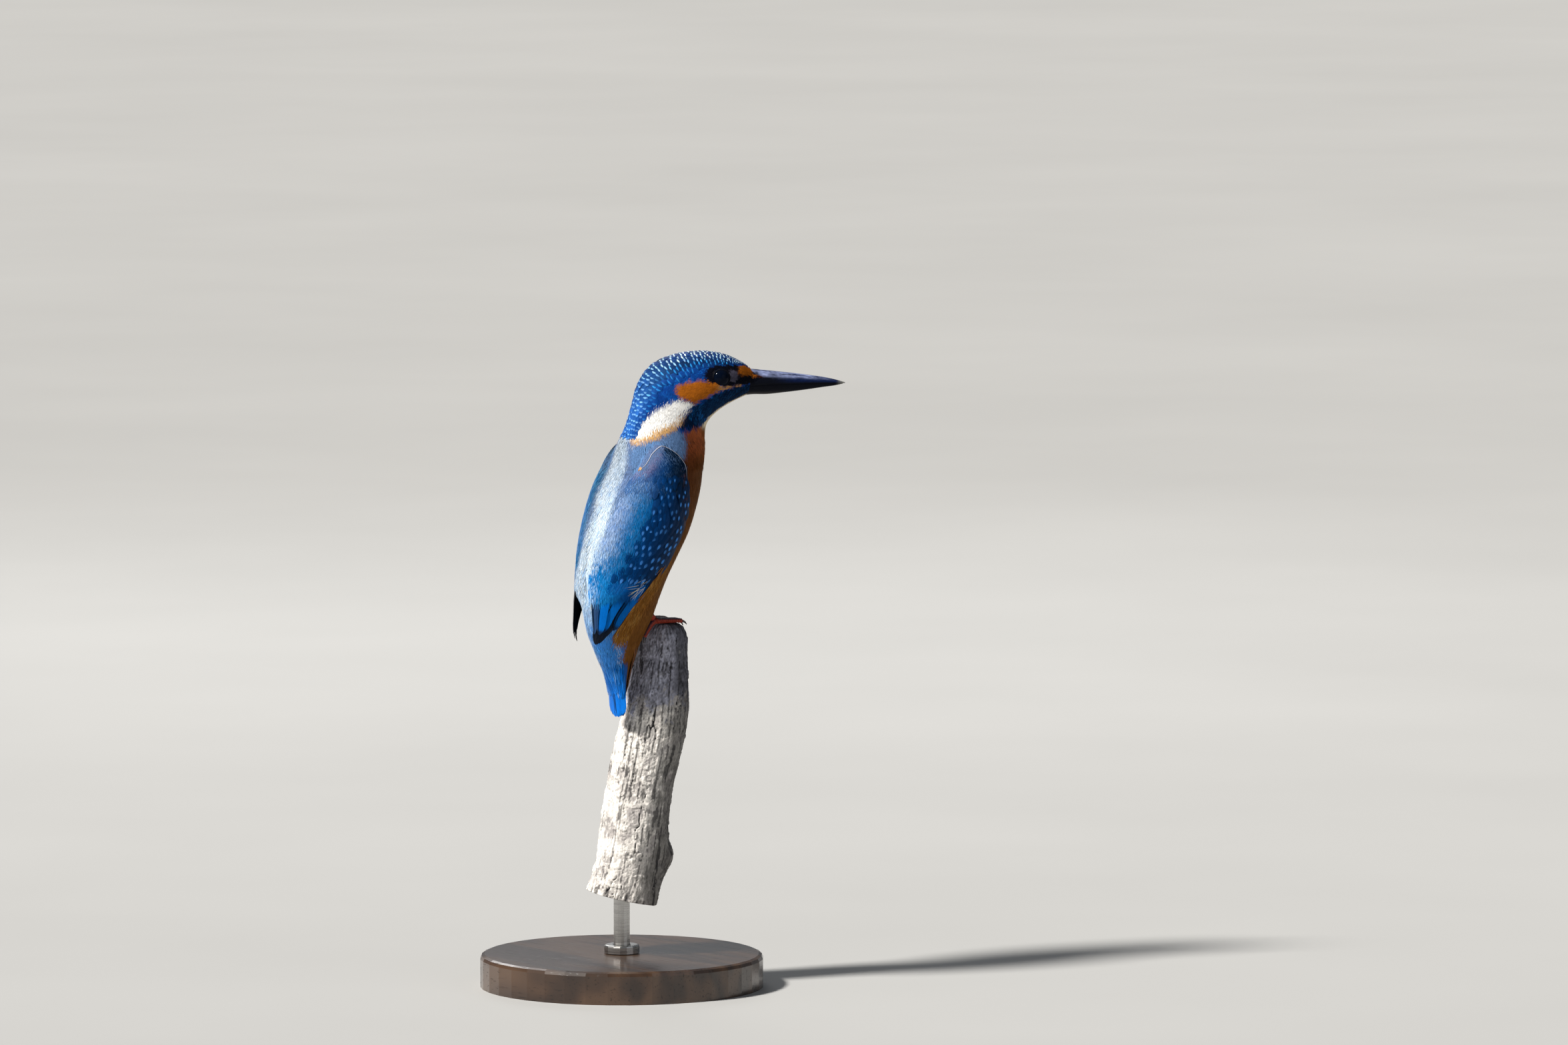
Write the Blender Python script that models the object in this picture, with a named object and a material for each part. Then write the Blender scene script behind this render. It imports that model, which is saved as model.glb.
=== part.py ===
"""A common kingfisher at life size, perched on the sawn length of a dead branch, on a plain stand.

The tables are in millimetres, in the bird's own frame: its origin is on top of the perch between
the feet, +X goes ahead of the breast, +Y to the bird's left and +Z up. The body is laid out with
the head straight ahead, and turn_head then swings the head to the bird's right. Each object of the
bird and the perch is located at the bird's origin. The scene's origin is under the middle of the
stand's base.
"""

import math

import bmesh
import bpy
import numpy as np
from mathutils import Vector

MM = 0.001
GAP = 0.3  # clearance kept between solids that meet

# Head turn: an upright axis through the neck, and the heights between which the turn eases in.
HEAD_TURN = math.radians(-30.0)
NECK_AXIS_X = 3.9
TURN_FROM, TURN_TO = 57.0, 76.0

# Head, neck and trunk, from the bill's base to the tail's root, as sections square to the middle
# plane: back x, back z, front x, front z, half width, and how far the widest part sits frontward.
BODY = np.array(
    [
        (35.3, 92.9, 34.0, 83.5, 4.0, 0.00),
        (30.6, 96.0, 28.6, 81.2, 7.3, 0.08),
        (24.4, 98.6, 24.2, 78.8, 9.8, 0.12),
        (16.4, 99.6, 21.2, 76.5, 11.3, 0.12),
        (7.4, 98.6, 19.4, 74.5, 12.3, 0.10),
        (-1.4, 94.9, 18.4, 72.7, 12.8, 0.06),
        (-6.6, 87.8, 18.0, 70.7, 12.9, 0.03),
        (-9.0, 79.5, 17.9, 68.3, 13.2, 0.00),
        (-11.4, 71.8, 17.8, 65.2, 14.2, 0.00),
        (-15.4, 65.0, 17.5, 61.2, 15.4, 0.00),
        (-20.0, 58.0, 16.4, 56.0, 16.6, 0.00),
        (-24.6, 50.0, 15.2, 49.5, 17.5, 0.00),
        (-27.9, 42.0, 12.9, 42.0, 17.6, 0.00),
        (-30.6, 34.0, 9.6, 34.0, 17.1, 0.02),
        (-32.6, 26.0, 4.7, 26.0, 16.0, 0.05),
        (-33.9, 18.0, 0.1, 18.0, 14.2, 0.08),
        (-34.1, 10.0, -3.1, 10.0, 12.0, 0.08),
        (-33.2, 4.0, -5.2, 4.0, 10.4, 0.05),
        (-31.6, -2.0, -8.4, -2.0, 8.8, 0.00),
        (-28.8, -8.0, -11.8, -8.0, 7.4, 0.00),
    ]
)
HEAD_END, NECK_END = 6.3, 8.7  # parting planes, counted in sections
BODY_SIDES, BODY_RINGS = 26, 40

# Bill: x, upper edge z, lower edge z, half width. It tapers from the face to a fine tip.
BILL_UPPER = np.array(
    [
        (35.6, 92.8, 87.0, 3.7),
        (41.0, 92.2, 87.2, 3.2),
        (48.0, 91.4, 87.25, 2.5),
        (55.5, 90.4, 87.3, 1.8),
        (63.5, 89.2, 87.2, 1.15),
        (70.2, 87.7, 86.95, 0.35),
    ]
)
BILL_LOWER = np.array(
    [
        (35.2, 86.7, 83.4, 3.5),
        (41.0, 86.9, 83.4, 3.0),
        (48.0, 86.95, 84.0, 2.3),
        (55.5, 87.0, 84.8, 1.65),
        (62.5, 86.9, 85.6, 1.05),
        (69.2, 86.6, 86.2, 0.35),
    ]
)
BILL_SIDES, BILL_RINGS = 12, 10

EYE_AT = (22.4, 7.9, 90.4)
EYE_RADIUS = 3.6

# A folded wing lies on the trunk: height z, edge nearest the breast and edge nearest the spine,
# as degrees round the trunk from the spine, then its stand-off outside and inside. The tips differ:
# the right wing's lies against the rump, and the left wing's stands off it.
WING = (
    (65.6, 70.0, 58.0, 1.2, 0.5),
    (64.0, 79.0, 51.0, 1.7, 0.5),
    (60.5, 88.0, 41.0, 1.9, 0.5),
    (55.0, 94.0, 32.0, 1.9, 0.5),
    (48.0, 102.0, 26.0, 1.9, 0.5),
    (38.0, 109.0, 20.0, 1.9, 0.5),
    (28.0, 108.0, 14.0, 1.9, 0.5),
    (18.0, 99.0, 11.0, 2.0, 0.6),
)
WING_TIPS = {
    "left": (
        (11.0, 84.0, 16.0, 2.6, 1.0),
        (6.0, 69.0, 20.0, 3.4, 1.9),
        (1.6, 57.0, 26.0, 4.4, 3.1),
        (-2.4, 44.0, 36.0, 5.3, 4.4),
    ),
    "right": (
        (11.0, 80.0, 8.0, 2.3, 0.8),
        (6.0, 63.0, 5.0, 2.5, 1.0),
        (1.5, 50.0, 2.0, 2.8, 1.4),
        (-2.2, 34.0, 0.0, 2.9, 1.7),
        (-5.0, 18.0, 2.0, 2.7, 1.8),
    ),
}
WING_SPLIT = 14.0  # the height where the coverts give way to the long flight feathers
WING_EDGE = 0.6  # thickness along the wing's rim
WING_ROWS, WING_COLUMNS = 12, 8

# Tail blade, then the coverts under it: z, back x, front x, half width.
TAIL = np.array(
    [
        (-8.4, -28.4, -19.8, 7.2),
        (-14.0, -25.2, -19.5, 6.4),
        (-20.0, -22.7, -19.4, 5.5),
        (-26.0, -20.9, -19.2, 5.0),
        (-31.0, -20.2, -19.1, 4.6),
        (-33.4, -20.0, -19.1, 2.8),
    ]
)
UNDERTAIL = np.array(
    [
        (-8.4, -19.4, -12.0, 7.0),
        (-14.0, -19.1, -14.5, 5.9),
        (-20.0, -18.7, -16.3, 4.6),
        (-26.0, -18.5, -17.5, 2.4),
    ]
)
TAIL_SIDES, TAIL_RINGS = 14, 9

# Feet: each toe's heading from straight ahead, its length and its root radius.
FOOT_Y = 3.5
TOES = {"inner": (-17.0, 8.6, 1.0), "middle": (0.0, 11.4, 1.15), "outer": (13.0, 10.8, 1.05)}
TOE_TIP = 0.75
TOE_LIFT = 0.35
TOE_BEND_X, TOE_BEND_RADIUS = 4.6, 5.0
HIND_TOE = ((-4.6, 1.6), (-6.5, 0.2), (-8.3, -2.0), (-9.5, -4.0))
FOOT_ROOT = (-4.8, 1.7)
LEG = ((-6.2, 3.1), (-8.2, 5.0), (-11.0, 7.2))
LEG_RADIUS = 1.25
CLAW_LENGTH, CLAW_RADIUS = 2.2, 0.5
CLAW_HOOK = 55.0
TUBE_SIDES, CLAW_SIDES = 8, 6

# Perch: x, y, z of its middle line and its radius, from the top down.
PERCH = np.array(
    [
        (1.8, -0.3, 0.0, 9.4),
        (1.3, 0.1, -12.0, 9.9),
        (0.2, 1.0, -26.0, 11.6),
        (-1.5, 2.4, -40.0, 12.7),
        (-5.1, 5.2, -63.0, 12.4),
        (-7.6, 7.2, -87.0, 13.0),
        (-10.1, 9.1, -101.0, 13.0),
    ]
)
PERCH_ROUND = ((3.4, 0.0), (5.9, 0.3), (7.8, 1.4), (9.1, 3.6))  # radius, depth at the top
CHAMFER_X, CHAMFER_SLOPE = -4.6, 1.15  # where the top starts to slope down behind, and how steeply
KNOT_AT, KNOT_HEIGHT, KNOT_SPREAD = (-86.0, -38.0), 2.4, 4.5  # height and heading in degrees
PERCH_SIDES, PERCH_RINGS = 22, 22

BASE_RADIUS, BASE_HEIGHT, BASE_BEVEL = 52.0, 12.0, 1.6
ROD_RADIUS, ROD_IN_BASE, ROD_SHOWN, ROD_IN_PERCH = 3.0, 6.0, 21.0, 14.0
COLLAR_RADIUS, COLLAR_HEIGHT = 6.5, 3.0
PERCH_TOP = BASE_HEIGHT + ROD_SHOWN - PERCH[-1, 2]  # height of the bird's origin over the floor
BIRD_ORIGIN = np.array((-PERCH[-1, 0], -PERCH[-1, 1], PERCH_TOP))


def spline(knots, values, at):
    """Values at 'at' on the smooth curve through the knots, with each knot's slope taken from its
    two neighbours."""
    knots = np.asarray(knots, float)
    values = np.asarray(values, float).reshape(len(knots), -1)
    slopes = np.gradient(values, knots, axis=0)
    at = np.clip(np.atleast_1d(np.asarray(at, float)), knots[0], knots[-1])
    i = np.clip(np.searchsorted(knots, at, side="right") - 1, 0, len(knots) - 2)
    span = (knots[i + 1] - knots[i])[:, None]
    t = (at[:, None] - knots[i][:, None]) / span
    first = (1 + 2 * t) * (1 - t) ** 2 * values[i] + t * (1 - t) ** 2 * span * slopes[i]
    second = t * t * (3 - 2 * t) * values[i + 1] - t * t * (1 - t) * span * slopes[i + 1]
    return first + second


def body_surface(u, v):
    """Points of the body at section u and angle v from the spine, positive to the bird's left."""
    u, v = np.broadcast_arrays(np.asarray(u, float), np.asarray(v, float))
    row = spline(range(len(BODY)), BODY, u.ravel()).reshape(*u.shape, 6)
    back_x, back_z, front_x, front_z, half, egg = np.moveaxis(row, -1, 0)
    share = (1 + np.cos(v)) / 2
    x = front_x + (back_x - front_x) * share
    z = front_z + (back_z - front_z) * share
    y = half * np.sin(v) * (1 - egg * np.cos(v))
    return np.stack([x, y, z], -1)


def body_normal(u, v):
    """Outward unit normals of the body, from the slopes of its surface."""
    step = 1e-3
    along = body_surface(u + step, v) - body_surface(u - step, v)
    around = body_surface(u, v + step) - body_surface(u, v - step)
    normal = np.cross(along, around)
    return normal / np.linalg.norm(normal, axis=-1, keepdims=True)


def section_at_height(z):
    """The section of the trunk, counted from the bill, whose middle is at height z."""
    middles = BODY[:, [1, 3]].mean(1)
    return np.interp(-z, -middles[8:], np.arange(8, len(BODY)))


def turn_head(points):
    """Swings points about the neck's upright axis, by an angle that eases in with their height."""
    points = np.array(points, float)
    t = np.clip((points[..., 2] - TURN_FROM) / (TURN_TO - TURN_FROM), 0, 1)
    angle = HEAD_TURN * t * t * (3 - 2 * t)
    x, y = points[..., 0] - NECK_AXIS_X, points[..., 1].copy()
    points[..., 0] = NECK_AXIS_X + x * np.cos(angle) - y * np.sin(angle)
    points[..., 1] = x * np.sin(angle) + y * np.cos(angle)
    return points


def clear_scene():
    for obj in list(bpy.data.objects):
        bpy.data.objects.remove(obj, do_unlink=True)


def material(name, colour, roughness, metallic=0.0):
    made = bpy.data.materials.new(name)
    made.use_nodes = True
    shader = made.node_tree.nodes["Principled BSDF"]
    shader.inputs["Base Color"].default_value = (*colour, 1.0)
    shader.inputs["Roughness"].default_value = roughness
    shader.inputs["Metallic"].default_value = metallic
    made.diffuse_color = (*colour, 1.0)
    return made


def add_object(name, bm, finish, cutter=False, at=BIRD_ORIGIN):
    """Makes an object of a bmesh in millimetres and locates it, its faces turned outwards, smooth
    but for its sharp edges."""
    bmesh.ops.scale(bm, vec=(MM, MM, MM), verts=bm.verts)
    bmesh.ops.recalc_face_normals(bm, faces=bm.faces)
    mesh = bpy.data.meshes.new(name)
    bm.to_mesh(mesh)
    bm.free()
    mesh.shade_smooth()
    mesh.set_sharp_from_angle(angle=math.radians(40))
    obj = bpy.data.objects.new(name, mesh)
    obj.location = np.asarray(at, float) * MM
    bpy.context.scene.collection.objects.link(obj)
    if cutter:
        obj.hide_render = True
        obj.display_type = "WIRE"
    else:
        mesh.materials.append(finish)
    return obj


def lofted(rings, flat_sheet=False):
    """A closed bmesh through rings of equal point counts. Each end is closed to a middle point, or
    on a flat sheet by rungs from the ring's first half across to its second."""
    rings = np.asarray(rings, float)
    bm = bmesh.new()
    loops = [[bm.verts.new(p) for p in ring] for ring in rings]
    for near, far in zip(loops, loops[1:]):
        for i in range(len(near)):
            j = (i + 1) % len(near)
            bm.faces.new((near[i], near[j], far[j], far[i]))
    for loop in (loops[0], loops[-1]):
        if flat_sheet:
            for i in range(len(loop) // 2 - 1):
                bm.faces.new((loop[i], loop[i + 1], loop[-2 - i], loop[-1 - i]))
            continue
        middle = bm.verts.new(sum((v.co for v in loop), Vector()) / len(loop))
        for i in range(len(loop)):
            bm.faces.new((loop[i], loop[(i + 1) % len(loop)], middle))
    return bm


def boolean(target, operation, other):
    modifier = target.modifiers.new(other.name, "BOOLEAN")
    modifier.operation = operation
    modifier.object = other
    modifier.solver = "EXACT"


def whole_body():
    """Head, neck and trunk as one closed bmesh, in the bird's frame with the head straight."""
    u = np.linspace(0, len(BODY) - 1, BODY_RINGS)
    v = np.linspace(0, 2 * math.pi, BODY_SIDES, endpoint=False)
    return lofted(body_surface(u[:, None], v[None, :]))


def parting_plane(u):
    """A point on section u and its normal, which points towards the tail."""
    back = body_surface(u, 0.0)
    front = body_surface(u, math.pi)
    across = back - front
    normal = np.array((-across[2], 0.0, across[0]))
    normal *= math.copysign(1.0, -normal[2]) / np.linalg.norm(normal)
    return (back + front) / 2, normal


def part_of_body(name, start, end, finish):
    """One length of the body between two parting planes, each side half a gap short of the plane."""
    bm = whole_body()
    for u, side in ((start, -1), (end, 1)):
        if u is None:
            continue
        point, normal = parting_plane(u)
        point = point - side * normal * GAP / 2
        cut = bmesh.ops.bisect_plane(
            bm,
            geom=bm.verts[:] + bm.edges[:] + bm.faces[:],
            dist=1e-5,
            plane_co=point,
            plane_no=normal * side,
            clear_outer=True,
        )
        edges = [e for e in cut["geom_cut"] if isinstance(e, bmesh.types.BMEdge)]
        cap = bmesh.ops.edgeloop_fill(bm, edges=edges)["faces"]
        bmesh.ops.poke(bm, faces=cap)
    for vert in bm.verts:
        vert.co = turn_head(vert.co)
    return add_object(name, bm, finish)


def bill_half(name, table, dome_up, finish):
    """One mandible: a dome over a nearly flat cutting edge, narrowing to the tip. Its section is a
    half ellipse, closed by a shallow curve along the mouth."""
    x = np.linspace(table[0, 0], table[-1, 0], BILL_RINGS)
    rows = spline(table[:, 0], table[:, 1:], x)
    angles = np.linspace(0, 2 * math.pi, BILL_SIDES, endpoint=False) + math.pi / BILL_SIDES
    rings = []
    for here, (top, low, half) in zip(x, rows):
        mouth, ridge = (low, top) if dome_up else (top, low)
        rise = np.where(np.sin(angles) > 0, np.sin(angles), 0.12 * np.sin(angles))
        lift = mouth + (ridge - mouth) * rise if dome_up else mouth - (mouth - ridge) * rise
        lift = np.clip(lift, min(top, low), max(top, low))
        rings.append(np.stack([np.full_like(angles, here), half * np.cos(angles), lift], -1))
    return add_object(name, lofted(turn_head(rings)), finish)


def eyes(head, finish):
    """Both eyeballs, each in a socket that is cut from the head one gap wider."""
    for name, side in (("eye_left", 1), ("eye_right", -1)):
        centre = BIRD_ORIGIN + turn_head(np.array(EYE_AT) * (1, side, 1))
        for role, radius in ((name, EYE_RADIUS), (name + "_socket", EYE_RADIUS + GAP)):
            bm = bmesh.new()
            bmesh.ops.create_uvsphere(bm, u_segments=16, v_segments=9, radius=radius)
            ball = add_object(role, bm, finish, cutter=role != name, at=centre)
        boolean(head, "DIFFERENCE", ball)


def wing_part(name, word, side, top, bottom, finish):
    """A length of a folded wing: two skins over the trunk, a little domed across, joined round
    the rim. The outer one bulges between the rim's edges, and the inner one follows the trunk."""
    table = np.array(WING + WING_TIPS[word])
    z = np.linspace(top, table[-1, 0] if bottom is None else bottom, WING_ROWS)
    fore, aft, outside, inside = spline(-table[:, 0], table[:, 1:], -z).T
    t = np.linspace(-1, 1, WING_COLUMNS)
    angle = np.radians((fore + aft) / 2 + ((fore - aft) / 2) * t[:, None]).T * side
    u = np.broadcast_to(section_at_height(z)[:, None], angle.shape)
    on_trunk = body_surface(u, angle)
    normal = body_normal(u, angle)
    dome = np.sqrt(np.clip(1 - 0.92 * t * t, 0, 1))[None, :]
    inner = np.broadcast_to(inside[:, None], angle.shape)
    outer = inner + WING_EDGE + (outside - inside - WING_EDGE)[:, None] * dome
    normal = normal * np.sign((normal[..., 1] * side).mean())
    rings = np.concatenate(
        [on_trunk + normal * outer[..., None], (on_trunk + normal * inner[..., None])[:, ::-1]], 1
    )
    return add_object(name, lofted(turn_head(rings), flat_sheet=True), finish)


def tail_part(name, table, flat_front, finish):
    """A blade hanging from the trunk's end: each section is half an ellipse on a flat side."""
    z = np.linspace(table[0, 0], table[-1, 0], TAIL_RINGS)
    back, front, half = spline(-table[:, 0], table[:, 1:], -z).T
    angles = np.linspace(0, math.pi, TAIL_SIDES // 2 + 1)
    chord = np.linspace(-1, 1, TAIL_SIDES // 2 - 1)[1:-1]
    rings = []
    for height, b, f, h in zip(z, back, front, half):
        flat, crown = (f, b) if flat_front else (b, f)
        arc_x = flat + (crown - flat) * np.sin(angles)
        ring = [(x, h * math.cos(a), height) for x, a in zip(arc_x, angles)]
        ring += [(flat, h * c, height) for c in chord]
        rings.append(ring)
    return add_object(name, lofted(rings), finish)


def tube(path, radii, sides=TUBE_SIDES):
    """A closed tube along a path, its rings square to the path and free of twist."""
    path = np.asarray(path, float)
    tangents = np.gradient(path, axis=0)
    tangents /= np.linalg.norm(tangents, axis=1, keepdims=True)
    side = np.cross(tangents[0], (0.0, 1.0, 0.0) if abs(tangents[0][1]) < 0.9 else (1.0, 0, 0))
    angles = np.linspace(0, 2 * math.pi, sides, endpoint=False)
    rings = []
    for point, tangent, radius in zip(path, tangents, radii):
        side = side - tangent * side.dot(tangent)
        side /= np.linalg.norm(side)
        other = np.cross(tangent, side)
        rings.append(point + radius * (np.outer(np.cos(angles), side) + np.outer(np.sin(angles), other)))
    return lofted(rings)


def toe_path(side, heading, length):
    """The middle line of a front toe: along the perch's top, then bending down over its far edge."""
    run = np.linspace(0, length, 7)
    turn = math.radians(heading) * side
    start = np.array((FOOT_ROOT[0] + 0.4, FOOT_Y * side))
    bend = np.clip(start[0] + run * math.cos(turn) - TOE_BEND_X, 0, None) / TOE_BEND_RADIUS
    flat = run - np.maximum(bend * TOE_BEND_RADIUS - TOE_BEND_RADIUS * np.sin(bend), 0)
    x = start[0] + flat * math.cos(turn)
    y = start[1] + flat * math.sin(turn)
    z = -TOE_BEND_RADIUS * (1 - np.cos(bend))
    return np.stack([x, y, z], -1)


def claw(name, root, ahead, finish):
    """A hooked claw that carries on from a toe's tip and curls down to a point."""
    ahead = np.asarray(ahead, float) / np.linalg.norm(ahead)
    down = np.array((0.0, 0.0, -1.0))
    down -= ahead * down.dot(ahead)
    down /= np.linalg.norm(down)
    bend = np.linspace(0, math.radians(CLAW_HOOK), 5)
    reach = CLAW_LENGTH / bend[-1]
    path = root + reach * (np.outer(np.sin(bend), ahead) + np.outer(1 - np.cos(bend), down))
    radii = np.linspace(CLAW_RADIUS, 0.18, len(path))
    return add_object(name, tube(path, radii, CLAW_SIDES), finish)


def foot(side, word, skin, horn):
    """Three front toes joined at the sole and a hind toe behind, each with its claw."""
    tops = {}
    pieces = []
    for toe, (heading, length, radius) in TOES.items():
        path = toe_path(side, heading, length)
        radii = np.linspace(radius, TOE_TIP, len(path))
        path[:, 2] += radii + TOE_LIFT
        pieces.append(add_object(f"toe_{toe}_{word}", tube(path, radii), skin, cutter=True))
        tops[toe] = (path[-1], path[-1] - path[-2])
    hind = spline(range(len(HIND_TOE)), HIND_TOE, np.linspace(0, len(HIND_TOE) - 1, 7))
    hind = np.stack([hind[:, 0], np.full(7, FOOT_Y * side), hind[:, 1]], -1)
    tops["hind"] = (hind[-1], hind[-1] - hind[-2])
    body = add_object(f"foot_{word}", tube(hind, np.linspace(1.15, TOE_TIP, 7)), skin)
    for piece in pieces:
        boolean(body, "UNION", piece)
    for toe, (end, ahead) in tops.items():
        ahead = ahead / np.linalg.norm(ahead)
        claw(f"claw_{toe}_{word}", end + ahead * GAP, ahead, horn)


def leg(side, word, trunk, finish):
    """The short bare shank, from the sole up into the belly, and the hole for it in the trunk."""
    path = np.array([(x, FOOT_Y * side, z) for x, z in LEG])
    path = spline(range(len(path)), path, np.linspace(0, len(path) - 1, 6))
    add_object(f"leg_{word}", tube(path, np.full(6, LEG_RADIUS)), finish)
    longer = path.copy()
    longer[-1] += (longer[-1] - longer[-2]) * 0.25
    longer[0] -= (longer[1] - longer[0]) * 0.6
    socket = add_object(f"socket_{word}", tube(longer, np.full(6, LEG_RADIUS + GAP)), finish, cutter=True)
    boolean(trunk, "DIFFERENCE", socket)


def perch(finish):
    """A dead branch: a lumpy tube with a rounded top that slopes off behind, and a sawn foot."""
    depth = -PERCH[:, 2]
    below = np.linspace(6.0, depth[-1], PERCH_RINGS)
    heights = np.array([d for _, d in PERCH_ROUND] + list(below))
    line = spline(depth, PERCH[:, [0, 1, 3]], heights)
    radii = np.array([r for r, _ in PERCH_ROUND] + list(line[len(PERCH_ROUND) :, 2]))
    theta = np.linspace(0, 2 * math.pi, PERCH_SIDES, endpoint=False)
    foot_tilt = np.diff(PERCH[-2:, :3], axis=0)[0]
    rings = []
    for height, (x, y, _), radius in zip(heights, line, radii):
        lumps = 1 + 0.022 * np.sin(3 * theta + height * 0.11) + 0.014 * np.sin(5 * theta - height * 0.23)
        off_knot = np.hypot(
            height + KNOT_AT[0],
            radius * (np.mod(theta - math.radians(KNOT_AT[1]) + math.pi, 2 * math.pi) - math.pi),
        )
        r = radius * lumps + KNOT_HEIGHT * np.exp(-((off_knot / KNOT_SPREAD) ** 2))
        px, py = x + r * np.cos(theta), y + r * np.sin(theta)
        pz = np.full_like(theta, -height)
        pz = np.minimum(pz, CHAMFER_SLOPE * np.minimum(px - CHAMFER_X, 0))
        ends = np.clip((height - depth[-2]) / (depth[-1] - depth[-2]), 0, 1)
        lean = ((px - x) * foot_tilt[0] + (py - y) * foot_tilt[1]) / -foot_tilt[2]
        rings.append(np.stack([px, py, pz + ends * lean], -1))
    made = add_object("perch", lofted(rings), finish)
    bore = cylinder("perch_bore", ROD_RADIUS + GAP, -GAP, ROD_SHOWN + ROD_IN_PERCH + GAP, None, cutter=True)
    boolean(made, "DIFFERENCE", bore)
    return made


def cylinder(name, radius, low, high, finish, cutter=False, bevel=0.0):
    """An upright cylinder on the stand's axis. Its heights are counted from the base's top."""
    bm = bmesh.new()
    bmesh.ops.create_cone(
        bm,
        cap_ends=True,
        segments=40 if radius > 20 else 16,
        radius1=radius,
        radius2=radius,
        depth=high - low,
    )
    if bevel:
        rim = [e for e in bm.edges if all(v.co.z > 0 for v in e.verts)]
        bmesh.ops.bevel(bm, geom=rim, offset=bevel, segments=2, profile=0.5, affect="EDGES")
    return add_object(name, bm, finish, cutter, at=(0, 0, BASE_HEIGHT + (low + high) / 2))


def stand(wood, steel):
    """A round base with a socket, the rod that stands in it, and a collar round the rod's foot."""
    base = cylinder("stand_base", BASE_RADIUS, -BASE_HEIGHT, 0.0, wood, bevel=BASE_BEVEL)
    socket = cylinder("base_socket", ROD_RADIUS + GAP, -ROD_IN_BASE - GAP, GAP, None, cutter=True)
    boolean(base, "DIFFERENCE", socket)
    cylinder("stand_rod", ROD_RADIUS, -ROD_IN_BASE, ROD_SHOWN + ROD_IN_PERCH, steel)
    collar = cylinder("stand_collar", COLLAR_RADIUS, GAP, GAP + COLLAR_HEIGHT, steel, bevel=0.6)
    clearance = cylinder("collar_bore", ROD_RADIUS + GAP, 0.0, 2 * COLLAR_HEIGHT, None, cutter=True)
    boolean(collar, "DIFFERENCE", clearance)


def main():
    clear_scene()
    blue = material("plumage_blue", (0.02, 0.16, 0.42), 0.5)
    rust = material("plumage_rust", (0.45, 0.17, 0.04), 0.7)
    horn = material("horn", (0.015, 0.015, 0.02), 0.3)
    eye_black = material("eye", (0.01, 0.008, 0.008), 0.05)
    red = material("foot_skin", (0.45, 0.08, 0.04), 0.5)
    bark = material("dead_wood", (0.42, 0.38, 0.33), 0.9)
    dark_wood = material("stand_wood", (0.06, 0.035, 0.02), 0.35)
    steel = material("steel", (0.6, 0.6, 0.6), 0.3, 1.0)

    head = part_of_body("head", None, HEAD_END, blue)
    part_of_body("neck", HEAD_END, NECK_END, blue)
    trunk = part_of_body("trunk", NECK_END, None, rust)
    bill_half("bill_upper", BILL_UPPER, True, horn)
    bill_half("bill_lower", BILL_LOWER, False, horn)
    eyes(head, eye_black)
    tail_part("tail", TAIL, True, blue)
    tail_part("undertail_coverts", UNDERTAIL, False, rust)
    for word, side in (("left", 1), ("right", -1)):
        wing_part(f"wing_{word}", word, side, WING[0][0], WING_SPLIT + GAP / 2, blue)
        wing_part(f"flight_feathers_{word}", word, side, WING_SPLIT - GAP / 2, None, blue)
        leg(side, word, trunk, red)
        foot(side, word, red, horn)
    perch(bark)
    stand(dark_wood, steel)


main()
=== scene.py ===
"""A common kingfisher on its perch: skin, feathers, bill, eyes, feet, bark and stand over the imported
model.

Lengths are millimetres in the bird's own frame until they reach a mesh: its origin is on top of the
perch between the feet, +X ahead of the breast, +Y to the bird's left, +Z up. The bird is laid out
with its head straight ahead, and turn_head swings each finished shape with the neck. A place on the
bird is a section u, counted from the bill's base to the tail's root, and an angle v round it from the
spine, positive to the bird's left.
"""

import math

import bpy
import numpy as np
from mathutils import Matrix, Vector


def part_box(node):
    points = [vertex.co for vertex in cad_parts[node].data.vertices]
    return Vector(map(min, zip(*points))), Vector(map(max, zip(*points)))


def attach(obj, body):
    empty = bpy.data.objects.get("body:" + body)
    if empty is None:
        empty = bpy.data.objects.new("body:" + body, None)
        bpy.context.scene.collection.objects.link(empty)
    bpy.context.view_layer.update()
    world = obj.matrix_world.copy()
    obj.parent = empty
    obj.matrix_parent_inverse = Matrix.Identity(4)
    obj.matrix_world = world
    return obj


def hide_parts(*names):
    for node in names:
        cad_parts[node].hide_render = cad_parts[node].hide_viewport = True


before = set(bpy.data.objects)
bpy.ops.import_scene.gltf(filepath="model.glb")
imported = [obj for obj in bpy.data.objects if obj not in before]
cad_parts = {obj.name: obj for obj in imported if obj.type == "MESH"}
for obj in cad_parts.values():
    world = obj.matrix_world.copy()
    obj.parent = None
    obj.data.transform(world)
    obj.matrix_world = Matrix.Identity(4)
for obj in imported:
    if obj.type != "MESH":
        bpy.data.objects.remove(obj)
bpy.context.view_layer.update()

MM = 0.001
HEAD_TURN = math.radians(-30.0)
NECK_AXIS_X = 3.9
TURN_FROM, TURN_TO = 57.0, 76.0

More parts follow.
